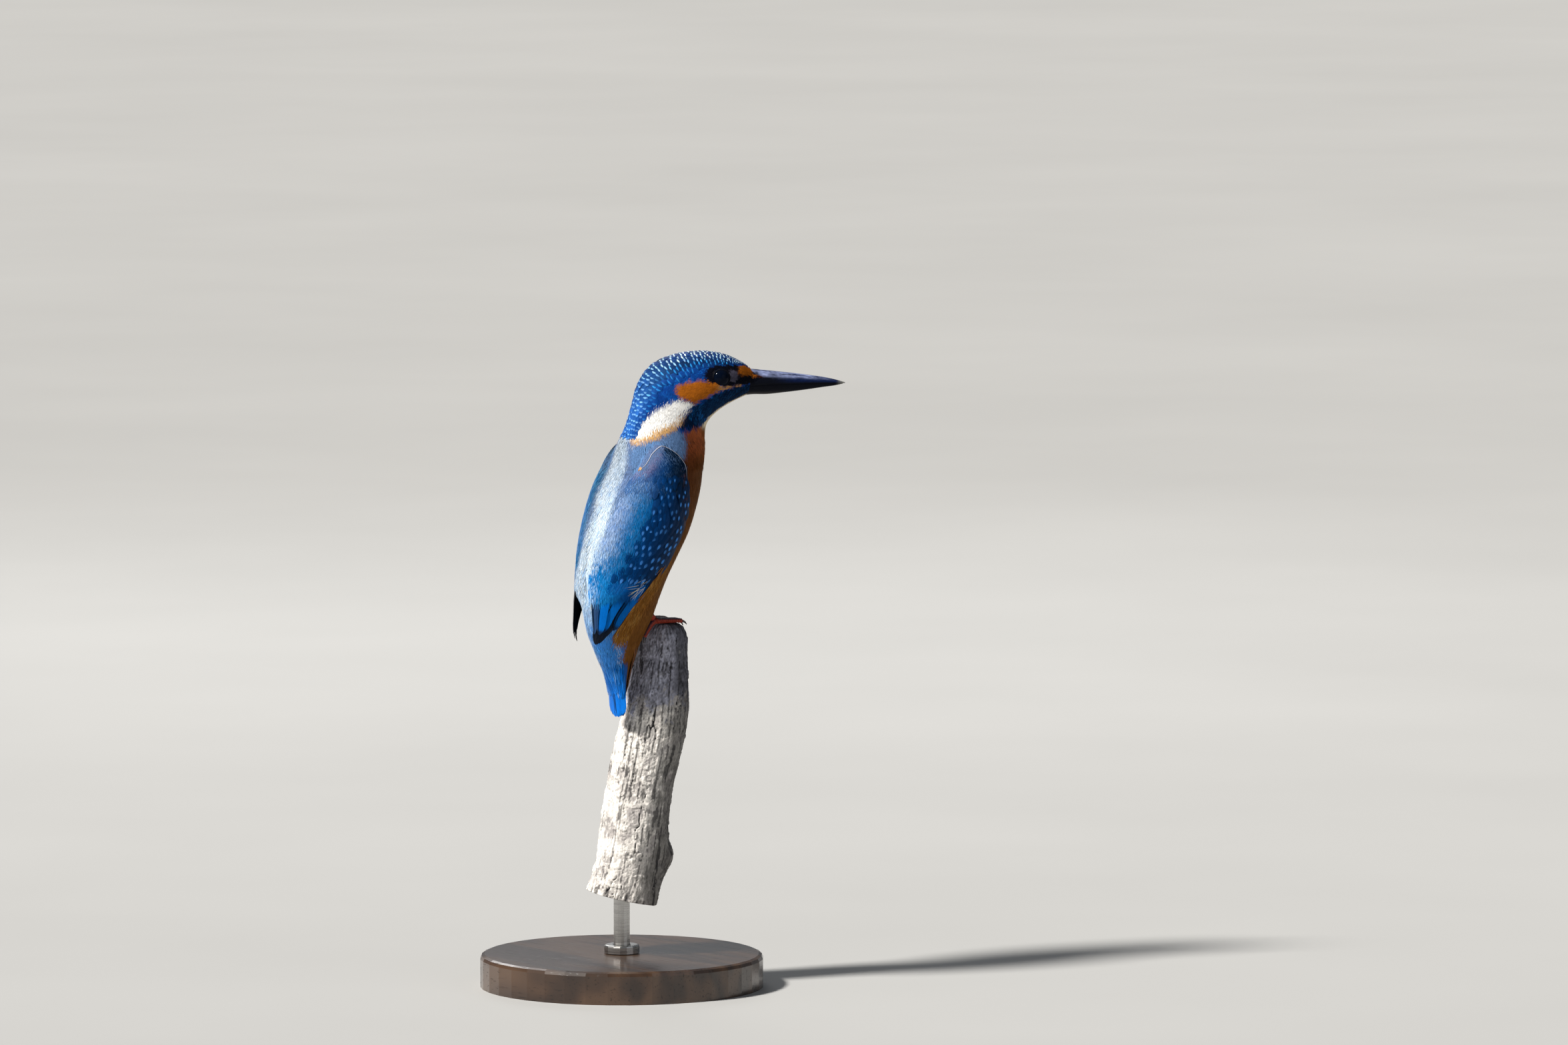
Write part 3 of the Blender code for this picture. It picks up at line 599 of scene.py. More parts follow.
def patch(outline, u, degrees, blur, ragged=0.0):
    """From 0 outside a marking's outline to 1 inside it, softened over blur millimetres. The distance
    is to the nearest side, and a place is inside where a line from it crosses the outline an odd
    number of times."""
    scale = np.array((SECTION_MM, DEGREE_MM))
    p = (np.stack([u, degrees], -1) * scale)[..., None, :]
    a = np.array(outline) * scale
    b = np.roll(a, -1, 0)
    edge = b - a
    share = np.clip(((p - a) * edge).sum(-1) / (edge * edge).sum(-1), 0, 1)
    away = np.linalg.norm(p - a - share[..., None] * edge, axis=-1).min(-1)
    over = (a[:, 1] > p[..., 1]) != (b[:, 1] > p[..., 1])
    cross = a[:, 0] + (p[..., 1] - a[:, 1]) * edge[:, 0] / np.where(edge[:, 1] == 0, 1e-9, edge[:, 1])
    inside = (over & (p[..., 0] < cross)).sum(-1) % 2 == 1
    return smooth(0.5 + (np.where(inside, away, -away) + ragged) / blur)


def crown_edge(u):
    """Degrees from the spine to the lower edge of the barred crown and nape."""
    return np.interp(u, *CROWN_EDGE)


def plumage(u, v, ragged=0.0):
    """Colour of the coat at a place of the body. Each marking is laid over what is under it."""
    degrees = off_spine(v)
    paint = np.broadcast_to(COBALT, u.shape + (3,)).copy()

    def lay(mask, colour):
        paint[...] = mixed(paint, colour, mask)

    # under parts: throat cream, breast rust with chestnut at its sides, both darkened as painted shade, redder at its
    # top, belly orange
    under = mixed(CHESTNUT, RUST, rises(degrees, 100, 35))
    under = mixed(under, BREAST_TOP, falls(u, 9.9, 2.2) * falls(degrees, 150, 20) * 0.7)
    under = mixed(under, BELLY, rises(u, 11, 4) * 0.8)
    under = mixed(CREAM, under, rises(u, 5.2, 1.2))
    edge = np.interp(u, *UNDER_EDGE)
    lay(smooth(0.5 + (degrees - edge + ragged * 6) / 8), under)
    # mantle and back: slate grey, then lilac as a painted sheen, teal on the left, and the bright strip over them, its
    # azure painted near white as a highlight
    upper = mixed(SLATE_GREY, LILAC_SHEEN * 0.9, rises(u, 9.8, 2.8) * falls(degrees, 60, 40))
    upper = mixed(upper, TEAL * 0.8, rises(degrees, 14, 9) * rises(u, 8.8, 2) * (v > 0))
    strip = np.interp(u, *STRIP_HALF) * np.where(v > 0, np.interp(u, *STRIP_LEFT), 1.0)
    bright = STRIP_AND_SHEEN * (0.6 + 0.4 * rises(u, 9.8, 2.5))[..., None]
    upper = mixed(upper, bright, smooth(0.5 + (strip - degrees + ragged * 6) / 7) * rises(u, 8.1, 0.4))
    lay(smooth((u - 8.15 + ragged * 0.05) / 0.15) * smooth(0.5 + (edge - degrees - ragged * 6) / 8), upper)
    lay(patch(SLATE_OUTLINE, u, degrees, 1.2, ragged), SLATE)
    # head
    lay(smooth((crown_edge(u) - degrees) / 4) * (u < 8.2), mixed(CROWN_DARK, NAPE, rises(u, 4.4, 2.8)))
    for outline, blur, colour, share in (
        (LORE_OUTLINE, 0.7, LORE_BLACK, 1.0),
        (MALAR_OUTLINE, 0.7, MALAR, 1.0),
        (BUFF_OUTLINE, 1.3, BUFF, 1.0),
        (WHITE_OUTLINE, 0.8, WHITE, 1.0),
        (EAR_OUTLINE, 0.7, mixed(EAR, EAR_PALE, falls(u, 2.9, 0.7)), 1.0),
        # a painted sheen on the black lore ahead of the eye
        (LORE_SHEEN_OUTLINE, 0.6, LORE_SHEEN, 0.9),
        (LORE_SPOT, 0.5, EAR * 0.8, 1.0),
    ):
        lay(patch(outline, u, degrees, blur, ragged) * share, colour)
    # the pale line of the gape
    gape = np.exp(-(((degrees - 101) * DEGREE_MM / 0.45) ** 2))
    lay(gape * rises(u, 0.6, 0.4) * falls(u, 2.6, 0.3), EAR_PALE)
    return paint


def spread(seed, count):
    """A seeded stream of numbers from -1 to 1."""
    return np.random.default_rng(seed).uniform(-1, 1, count)


def even_pairs(count, shift=0.0):
    """Pairs of shares from 0 to 1 that fill a square evenly: each share steps by a fixed fraction."""
    i = np.arange(1, count + 1)
    return np.mod(shift * 0.37 + i * 0.7548776662466927, 1), np.mod(shift * 0.61 + i * 0.5698402909980532, 1)


def scatter(per_mm2, where, seed):
    """Roots spread evenly over the body: even pairs over (u, v), kept in proportion to the surface's
    area and to 'where' at that place."""
    count = int(per_mm2 * MOST_AREA * LAST * 2 * np.pi)
    first, second = even_pairs(count, seed)
    u, v = LAST * first, 2 * np.pi * second - np.pi
    _, along, around, _ = body_frame(u, v)
    area = np.linalg.norm(np.cross(along, around), axis=-1)
    draw = np.mod(np.arange(1, count + 1) * 0.4142135623730951 + seed * 0.23, 1)
    kept = draw < area / MOST_AREA * where(u, off_spine(v), v)
    return u[kept], v[kept]


# ---- coat

LOCK_AT = np.array((0.0, 0.5, 1.0))  # a lock's root, middle and tip along it
LOCK_WIDTH = np.array((0.75, 1.0))  # its width at the first two, the tip being a point
ACROSS_LOCK = np.array((-1.0, 0.0, 1.0))  # the corners of its three-sided section
BAKE_PATCH = 0.003  # side of a feather's patch in the unwrap
SKIN_ROUGH = 0.7
BODY_SHARE = 0.9  # share of the unwrap's width that the body takes; the tail has the rest
TONE_VARIES = 0.14  # how far one feather's colour may be from the next one's, as a share


def bake_place(u, v):
    """Place in the unwrap: sections run across it and the angle from -pi to pi up it."""
    return np.stack([0.005 + (BODY_SHARE - 0.01) * u / LAST, 0.01 + 0.98 * (v / (2 * np.pi) + 0.5)], -1)


def wing_bake(side, z, t):
    """Place in the unwrap of a feather rooted on the wing."""
    return bake_place(*wing_place(side, z, t))


def barb_tufts(
    name, finish, roots, length, width, lean_out, depth, proud, seed, painted_shade, wild, barbs=5, splay=0.08, rough=0.6,
    colour=None, lift=None,
):
    """A coat of small feathers. Each is a fan of thin locks from one root: lock j leaves at the
    feather's heading, which leans out from the spine by so many degrees, plus splay times its place
    across. It runs over the skin, and rises from depth under the coat's face at its root to proud
    over it at its tip. A lock is a three-sided wedge. The colour is the coat's own at the feather's
    middle, darker toward its root by a painted shade where the feathers over it would shadow it."""
    u, v = roots
    n = len(u)
    wild, length, width = (np.broadcast_to(x, n) for x in (wild, length, width))
    across = np.linspace(-1, 1, barbs)
    noise = spread(seed, (6, n))
    fine = spread(seed + 1, (4, n, barbs))
    length = length * (1 + 0.22 * noise[0])
    heading = away_from_spine(v, lean_out) + wild * noise[1]
    mm_u, mm_v = millimetres(u, v)
    # the locks' middle lines
    reach = length[:, None] * (1 - 0.28 * across**2) * (1 + 0.15 * fine[0])
    angle = (heading[:, None] + splay * across + 0.5 * wild[:, None] * fine[1])[..., None]
    start = 0.5 * width[:, None] * (across + 0.25 * fine[2])
    run = LOCK_AT * reach[..., None]
    uu = u[:, None, None] + run * np.cos(angle) / mm_u[:, None, None]
    vv = v[:, None, None] + (start[..., None] + run * np.sin(angle)) / mm_v[:, None, None]
    point, _, _, normal = body_frame(uu, vv)
    rise = wing_rise(uu, vv) * over_wing(u, v)[:, None, None] if lift is None else lift(uu, vv)
    high = (proud * (1 + 0.5 * noise[2]))[:, None] * (1 + 0.3 * fine[3])
    height = -depth * (1 - LOCK_AT) ** 1.3 + high[..., None] * LOCK_AT + rise
    centre = point + normal * height[..., None]
    # their wedges, and the soft normals that light them
    sideways = unit(np.cross(normal, np.gradient(centre, axis=2)))
    half = ((0.85 * width / barbs)[:, None, None] * LOCK_WIDTH)[..., None]
    middle, side, up = (a[:, :, :2] for a in (centre, sideways, normal))
    rings = np.stack([middle - side * half, middle + up * 0.3 * half, middle + side * half], 3)
    points, faces = shells(rings.reshape(n * barbs, 2, 3, 3), centre[:, :, 2].reshape(-1, 3))
    lean = unit(up[..., None, :] + 0.3 * ACROSS_LOCK[:, None] * side[..., None, :]).reshape(n * barbs, 6, 3)
    lean = np.concatenate([lean, normal[:, :, :1].reshape(-1, 1, 3), normal[:, :, 2:].reshape(-1, 1, 3)], 1)
    # colour and unwrap
    ahead = 0.55 * length
    base = plumage(u + ahead / mm_u * np.cos(heading), v + ahead * np.sin(heading) / mm_v, 0.5 * noise[3])
    if colour is not None:
        base = colour(base, u, v, noise[4])
    base = base * (1 + TONE_VARIES * noise[5])[:, None]
    # painted shade: darker toward the root where the feathers over it shadow it, less on pale feathers
    painted_shade = (painted_shade * (1 - 0.75 * rises(base.mean(-1), 0.3, 0.3)))[:, None, None]
    tone = (1 - painted_shade * (1 - LOCK_AT) ** 1.5) * (1 + 0.6 * TONE_VARIES * fine[3][..., None])
    tint = with_fourth(np.clip(base[:, None, None] * tone[..., None], 0, 1), rough).reshape(n * barbs, 3, 4)
    root = np.repeat(bake_place(u, v)[:, None], barbs, 1).reshape(-1, 1, 2)
    corners = np.stack(np.broadcast_arrays(ACROSS_LOCK[None], LOCK_AT[:2, None] * 2 - 1), -1).reshape(6, 2)
    patch_uv = np.concatenate([corners, ((0.0, -1.0), (0.0, 1.0))])[None] * BAKE_PATCH / 2
    uvs, colours = {"OFBake": np.clip(root + patch_uv, 0, 1)}, {"Coat": on_shells(tint, ACROSS_LOCK)}
    return make_piece(name, points, faces, finish, uvs, colours, lean)


def leaves(centre, sideways, normal, half, camber, thickness, lanes):
    """Feather blades: at each ring a row of lanes from edge to edge, its middle raised by camber, and
    the same row a thickness below, closed round the rim and at both ends."""
    x = np.linspace(-1, 1, lanes)
    rise = (camber[..., None] * (1 - x * x))[..., None]
    centre, sideways, normal = (a[..., None, :] for a in (centre, sideways, normal))
    top = centre + sideways * (half[..., None] * x)[..., None] + normal * rise
    low = top[..., 1:-1, :] - normal * thickness
    points, faces = shells(np.concatenate([top, low[..., ::-1, :]], -2))
    round_x = np.concatenate([x, x[1:-1][::-1]])
    lean = unit(normal + (2.0 * camber / half)[..., None, None] * round_x[:, None] * sideways)
    lean = np.concatenate([lean.reshape(len(points), -1, 3), normal[:, 0], normal[:, -1]], 1)
    return points, faces, round_x, lean


def blade_outline(s, tip_round):
    """Half width of a blade along its length: quick swelling from the quill, then a rounded tip."""
    into_tip = np.clip((s - 1 + tip_round) / tip_round, 0, 1)
    return np.clip(s * 5 + 0.35, 0, 1) * np.sqrt(np.clip(1 - into_tip**2, 0.02, 1))


def blades(
    name, finish, paths, half, roots, tint, rough, camber, thickness, lanes, tip_round, mark=None, shaft=0.0, taper=0.0
):
    """Feathers with a shaft and two webs along given paths (point, sideways, normal per ring), coloured
    by tint(feather, along, across). The Vane map holds the place across from the shaft, 0.5 on it, and
    the place along."""
    centre, sideways, normal = paths
    n, r = centre.shape[:2]
    s = np.linspace(0, 1, r)
    width = np.broadcast_to(half, n)[:, None] * (blade_outline(s, tip_round) * (1 - taper * s))[None]
    points, faces, x, lean = leaves(centre, sideways, normal, width, camber * width, thickness, lanes)
    grid_s, grid_x = (np.broadcast_to(a, (n, r, len(x))) for a in (s[None, :, None], x[None, None]))
    colour = with_fourth(np.clip(tint(np.arange(n)[:, None, None], grid_s, grid_x), 0, 1), rough)

    def whole(values):
        """The rings' values, then those of the two ends, taken from the middle of the first and last."""
        ends = values[:, :1, x.size // 4], values[:, -1:, x.size // 4]
        return np.concatenate([values.reshape(n, -1, values.shape[-1]), *ends], 1)

    bake = roots[:, None, None] + np.stack([grid_x * 0.5, grid_s - 0.5], -1) * BAKE_PATCH
    vane = np.stack([(grid_x - shaft) * 0.5 + 0.5, grid_s], -1)
    uvs, colours = {"OFBake": whole(np.clip(bake, 0, 1)), "Vane": whole(vane)}, {"Coat": whole(colour)}
    if mark is not None:
        mark = np.clip(mark, 0, 1)[:, None, None]
        colours["Mark"] = whole(np.broadcast_to(mark, (n, r, len(x), 4)))
    return make_piece(name, points, faces, finish, uvs, colours, lean)


def chart_paths(u, v, du, dv, rings, low, high):
    """Blade paths over the body: straight in (u, v) from the root by (du, dv), rising from low to high
    over the coat's face."""
    s = np.linspace(0, 1, rings)
    uu, vv = ramped(u, u + du, s), ramped(v, v + dv, s)
    point, _, _, normal = body_frame(uu, vv)
    return laid(point + normal * (wing_rise(uu, vv) + ramped(low, high, smooth(s * 1.6)))[..., None], normal)


# ---- materials


class Wire:
    """One socket's output. Python's + - * / on it add Math nodes, and node() adds any other node."""

    def __init__(self, tree, socket=None):
        self.tree, self.socket = tree, socket

    def node(self, kind, settings, sockets, out=0):
        """Adds a node: its settings first, a ramp's stops among them, then the values or links of its
        sockets. Returns one of its outputs."""
        made = self.tree.nodes.new(kind)
        for key, value in settings.items():
            if key == "stops":
                elements = made.color_ramp.elements
                while len(elements) < len(value):
                    elements.new(0.5)
                for element, (place, colour) in zip(elements, value):
                    element.position, element.color = place, (*colour, 1.0)
            else:
                setattr(made, key, value)
        for key, value in sockets.items():
            if isinstance(value, Wire):
                self.tree.links.new(value.socket, made.inputs[key])
            else:
                made.inputs[key].default_value = value
        return Wire(self.tree, made.outputs[out])

    def math(self, operation, *others):
        """Adds a Math node with this value first."""
        return self.node("ShaderNodeMath", {"operation": operation}, dict(enumerate((self, *others))))

    def __add__(self, other):
        return self.math("ADD", other)

    def __mul__(self, other):
        return self.math("MULTIPLY", other)

    def __sub__(self, other):
        return self.math("SUBTRACT", other)

    def __rsub__(self, other):
        return self.node("ShaderNodeMath", {"operation": "SUBTRACT"}, {0: other, 1: self})

    __radd__, __rmul__ = __add__, __mul__

    def mix(self, first, second):
        """first where this is 0, second where it is 1, as colours."""
        sockets = {0: self, 6: first, 7: second}
        return self.node("ShaderNodeMix", {"data_type": "RGBA", "clamp_factor": True}, sockets, 2)

    def times(self, colour):
        """A colour made lighter or darker by this number."""
        grey = self.node("ShaderNodeCombineColor", {}, {0: self, 1: self, 2: self})
        settings = {"data_type": "RGBA", "blend_type": "MULTIPLY"}
        return self.node("ShaderNodeMix", settings, {0: 1.0, 6: colour, 7: grey}, 2)

    def ramp(self, *stops):
        """A colour for this value between stops of (value, colour)."""
        return self.node("ShaderNodeValToRGB", {"stops": stops}, {0: self})

    def between(self, low, high):
        """0 below low to 1 above high."""
        return self.node("ShaderNodeMapRange", {"interpolation_type": "SMOOTHSTEP"}, {0: self, 1: low, 2: high})


def finish_material(name, **constants):
    """A Principled material with its plain numbers set on the shader's own sockets."""
    made = bpy.data.materials.new(name)
    made.use_nodes = True
    shader = made.node_tree.nodes["Principled BSDF"]
    for key, value in constants.items():
        shader.inputs[key.replace("_", " ")].default_value = value
    return made, Wire(made.node_tree)


def wired(made, **links):
    """Links values to the sockets of the same names on a material's shader, and hands it back."""
    shader = made.node_tree.nodes["Principled BSDF"]
    for key, value in links.items():
        made.node_tree.links.new(value.socket, shader.inputs[key.replace("_", " ")])
    return made


def stretched(wire, scale=(1.0, 1.0, 1.0), turn=(0.0, 0.0, 0.0)):
    """Object coordinates squeezed by scale, for a pattern that runs one way."""
    place = wire.node("ShaderNodeTexCoord", {}, {}, "Object")
    return wire.node("ShaderNodeMapping", {}, {"Vector": place, "Scale": scale, "Rotation": turn})


def noise(wire, place, scale, detail=3.0, rough=0.55):
    """Smooth random values from 0 to 1, 'scale' waves to the metre, with finer ones laid over them."""
    sockets = {"Vector": place, "Scale": scale, "Detail": detail, "Roughness": rough}
    return wire.node("ShaderNodeTexNoise", {}, sockets)


def painted(wire, name="Coat", out=0):
    """What the mesh carries under a name: its colour, or its fourth number as Alpha."""
    return wire.node("ShaderNodeAttribute", {"attribute_name": name}, {}, out)


def bump(wire, height, strength, distance):
    """Relief from a height of 0 to 1 that stands for that distance in metres."""
    return wire.node("ShaderNodeBump", {}, {"Strength": strength, "Distance": distance, "Height": height})


def plumage_finish(name, gloss, gloss_tint, barbed=False, mark=None, quill=0.03):
    """Feather: the markings from the mesh, fine light and dark along the barbs, satin gloss. A barbed
    one has a dark shaft and slanting barbs from its Vane map, and may carry a spot or bar by its tip."""
    made, w = finish_material(name, Specular_IOR_Level=gloss, Specular_Tint=(*gloss_tint, 1.0))
    coat, rough = painted(w), painted(w, out="Alpha")
    grain = noise(w, stretched(w, (1.0, 1.0, 0.35)), 2600.0, 2.0)
    height = grain
    if barbed:
        vane = w.node("ShaderNodeUVMap", {"uv_map": "Vane"}, {})
        x, y = (w.node("ShaderNodeSeparateXYZ", {}, {0: vane}, out) for out in (0, 1))
        away = (x - 0.5).math("ABSOLUTE")
        barbs = ((y * 30.0 - away * 18.0) * (2 * math.pi)).math("SINE") * 0.5 + 0.5
        if mark:
            strength, tone = painted(w, "Mark", "Alpha"), painted(w, "Mark")
            middle, tall, wide = mark
            off_x, off_y = away * (1 / wide), (y - middle) * (1 / tall)
            inside = 1.0 - (off_x * off_x + off_y * off_y).math("SQRT").between(0.4, 1.1)
            coat = (inside * strength).mix(coat, tone)
        shaft = away.between(quill * 0.6, quill)
        coat = ((shaft * 0.9 + 0.1) * (barbs * 0.14 + 0.9)).times(coat)
        height = barbs * 0.6 + grain * 0.4
    coat = (grain * 0.5 + 0.75).times(coat)
    return wired(made, Base_Color=coat, Roughness=rough + grain * 0.15, Normal=bump(w, height, 0.3, 0.00008))


def skin_finish():
    """What shows between the feathers: the coat's colours darkened as painted shade, matt and finely grained."""
    made, w = finish_material("skin", Specular_IOR_Level=0.25)
    coat = painted(w)
    grain = noise(w, stretched(w, (1.0, 1.0, 0.3)), 1800.0)
    colour = (grain * 0.6 + 0.6).times(coat)
    return wired(made, Base_Color=colour, Roughness=grain * 0.2 + 0.6, Normal=bump(w, grain, 0.5, 0.0002))


def bill_finish():
    """Horn: black with a blue and slate sheen painted into the colour from the mesh, streaks along the bill and a pale
    tip.
    """
    made, w = finish_material("bill_horn", Specular_IOR_Level=0.045, Coat_Roughness=0.25)
    coat = painted(w)
    streaks = noise(w, stretched(w, (0.12, 1.0, 1.0), (0.0, 0.0, HEAD_TURN)), 2400.0, 4.0)
    flecks = noise(w, stretched(w), 900.0)
    return wired(
        made,
        Base_Color=(streaks * 0.8 + 0.45).times(coat),
        Roughness=streaks * 0.25 + flecks * 0.12 + 0.22,
        Coat_Weight=flecks * 0.07,
        Normal=bump(w, streaks, 0.5, 0.00015),
    )


def eye_finish():
    """Eye: near-black, finely mottled in blue-black, under a clear wet front."""
    made, w = finish_material("eye", Coat_Roughness=0.015, Specular_IOR_Level=0.03)
    veins = noise(w, stretched(w), 700.0)
    colour = veins.ramp((0.35, (0.001, 0.003, 0.010)), (0.75, (0.003, 0.005, 0.011)))
    return wired(made, Base_Color=colour, Roughness=veins * 0.03 + 0.04, Coat_Weight=0.055 - veins * 0.03)


def hide_finish(name, spots, rough, gloss=0.25):
    """Scaled or wrinkled bare skin, in the colours the mesh gives."""
    made, w = finish_material(name, Specular_IOR_Level=gloss)
    coat = painted(w)
    place = stretched(w)
    cells = w.node("ShaderNodeTexVoronoi", {"feature": "F1"}, {"Vector": place, "Scale": spots}, "Distance")
    fine = noise(w, stretched(w), 3000.0)
    return wired(
        made,
        Base_Color=(1.15 - cells * 0.5).times(coat),
        Roughness=fine * 0.25 + rough,
        Normal=bump(w, cells + fine * 0.3, 0.6, 0.0002),
    )


def claw_finish():
    """Black horn with streaks along the claw."""
    made, w = finish_material("claw_horn", Specular_IOR_Level=0.6)
    streaks = noise(w, stretched(w, (1.0, 1.0, 0.4)), 1500.0)
    colour = streaks.ramp((0.3, (0.010, 0.009, 0.010)), (0.7, (0.045, 0.035, 0.032)))
    return wired(made, Base_Color=colour, Roughness=streaks * 0.25 + 0.2, Normal=bump(w, streaks, 0.3, 0.0001))


def bark_finish():
    """Dead wood: silver grey weathering over cream, long fibres, dark cracks and lichen flecks."""
    made, w = finish_material("dead_wood", Specular_IOR_Level=0.2)
    coat = painted(w)
    fibres = noise(w, stretched(w, (1.0, 1.0, 0.10), (0.08, 0.1, 0.0)), 1100.0, 5.0, 0.65)
    grit = noise(w, stretched(w, (1.0, 1.0, 0.6)), 1500.0, 4.0, 0.7)
    tone = (fibres.between(0.25, 0.7) * 0.4 + 0.66) * (grit.between(0.25, 0.7) * 0.45 + 0.6)
    flecks = noise(w, stretched(w, (1.0, 1.0, 0.7)), 420.0, 4.0, 0.6).between(0.60, 0.70)
    colour = (flecks * 0.3).mix(tone.times(coat), (0.40, 0.38, 0.34, 1.0))
    relief = bump(w, fibres * 0.6 + grit * 0.6, 0.9, 0.0006)
    return wired(made, Base_Color=colour, Roughness=grit * 0.2 + 0.75, Normal=relief)


def stand_wood_finish():
    """Turned walnut under satin varnish: rings of growth drawn out along the board, and fine pores."""
    made, w = finish_material("stand_wood", Coat_Roughness=0.18, Specular_IOR_Level=0.5)
    place = stretched(w, (1.0, 0.09, 0.5), (0.0, 0.06, 0.5))
    warp = noise(w, place, 30.0, 3.0)
    rings = ((warp * 46.0).math("SINE") * 0.5 + 0.5) * 0.6 + noise(w, place, 160.0, 4.0) * 0.4
    pores = noise(w, stretched(w, (1.0, 0.05, 1.0), (0.0, 0.0, 0.5)), 1300.0, 2.0).between(0.58, 0.72)
    dark, brown, light = (0.020, 0.010, 0.006), (0.050, 0.025, 0.013), (0.090, 0.048, 0.025)
    colour = rings.ramp((0.1, dark), (0.5, brown), (0.95, light))
    return wired(
        made,
        Base_Color=(1.0 - pores * 0.5).times(colour),
        Roughness=pores * 0.25 + 0.28,
        Coat_Weight=0.55 - pores * 0.3,
        Normal=bump(w, 1.0 - pores, 0.15, 0.0001),
    )


def steel_finish():
    """Brushed steel, its lines running along the rod."""
    made, w = finish_material("stand_steel", Metallic=1.0)
    lines = noise(w, stretched(w, (0.05, 0.05, 1.0)), 2500.0, 3.0)
    colour = lines.ramp((0.3, (0.38, 0.37, 0.36)), (0.7, (0.60, 0.59, 0.57)))
    return wired(made, Base_Color=colour, Roughness=lines * 0.18 + 0.2, Normal=bump(w, lines, 0.12, 0.00005))


SOFT_GLOSS, BLUE_GLOSS, WARM_GLOSS = (0.4, 0.6, 1.0), (0.08, 0.42, 1.0), (1.0, 0.75, 0.5)
SOFT = plumage_finish("soft_feathers", 0.06, SOFT_GLOSS)
SILK = plumage_finish("silky_feathers", 0.30, BLUE_GLOSS)
WARM = plumage_finish("warm_feathers", 0.14, WARM_GLOSS)
BARRED = plumage_finish("barred_feathers", 0.25, BLUE_GLOSS, True, (0.84, 0.10, 0.60), 0.004)
SPOTTED = plumage_finish("spotted_feathers", 0.22, BLUE_GLOSS, True, (0.82, 0.15, 0.24), 0.012)
LONG = plumage_finish("flight_feathers", 0.22, BLUE_GLOSS, True, None, 0.075)
SKIN = skin_finish()
HORN = bill_finish()
FOOT_HIDE = hide_finish("foot_skin", 1500.0, 0.35)


# ---- skin


def coat_depth(u):
    """How far the skin lies under the coat's face: least on the face, most on the belly and back."""
    return 0.24 + 0.3 * rises(u, 2, 5) + 0.3 * rises(u, 8, 4)


def toe_path(side, heading, length, rings):
    """The middle line of a front toe: along the perch's top, then bending down over its far edge."""
    run = np.linspace(0, length, rings)
    turn = math.radians(heading) * side
    x0 = FOOT_ROOT_X + 0.4
    bend = np.clip(x0 + run * math.cos(turn) - TOE_BEND_X, 0, None) / TOE_BEND_RADIUS
    flat = run - TOE_BEND_RADIUS * np.maximum(bend - np.sin(bend), 0)
    x, y = x0 + flat * math.cos(turn), FOOT_Y * side + flat * math.sin(turn)
    return np.stack([x, y, -TOE_BEND_RADIUS * (1 - np.cos(bend))], -1)


def limbs(side, rings):
    """Paths and radii of one foot's limbs: the front toes, then the hind toe and the shank on curves
    through their points, the shank carried on into the body."""
    found = []
    for heading, length, radius in TOES:
        path = toe_path(side, heading, length, rings)
        radii = np.linspace(radius, TOE_TIP, rings)
        path[:, 2] += radii + TOE_LIFT
        found.append((path, radii))
    for knots, root, tip in ((HIND_TOE, HIND_RADIUS, TOE_TIP), (SHANK, SHANK_RADIUS, SHANK_RADIUS)):
        x, z = spline(range(len(knots)), knots, np.linspace(0, len(knots) - 1, rings)).T
        found.append((np.stack([x, np.full(rings, FOOT_Y * side), z], -1), np.linspace(root, tip, rings)))
    shank = found[-1][0]
    shank[0] += (shank[0] - shank[2]) * 1.2
    return found


def foot_tint(upward):
    """Dusky above and red at the sides, as on a young bird's foot."""
    return with_fourth(mixed(FOOT_RED, FOOT_DUSK, rises(upward, 0.1, 0.6)))


def tail_faces(table, z, flat_front):
    """Where the tail's flat and rounded faces lie at height z, and its half width."""
    back, front, half = read_off(table, z)
    return (front, back, half) if flat_front else (back, front, half)


def tail_surface(table, z, q, flat_front):
    """A point of the tail at height z and place q across, on the face that is half an ellipse."""
    flat, crown, half = tail_faces(table, z, flat_front)
    return np.stack([flat + (crown - flat) * np.sqrt(np.clip(1 - q * q, 0, 1)), half * q, z], -1)


def tail_core(table, flat_front, inset):
    """The tail's flesh and feather bases as one closed blade, inset all round."""
    z = np.linspace(table[0, 0], table[-1, 0] + 1.0, 40)[:, None]
    angle = round_angles(24)[None]
    flat, crown, half = tail_faces(table, z, flat_front)
    depth = (crown - flat) * np.maximum(np.sin(angle), 0)
    x = flat + depth * (1 - inset / np.maximum(np.abs(crown - flat), inset * 1.5))
    return shells(np.stack(np.broadcast_arrays(x, (half - inset) * np.cos(angle), z), -1)[None])


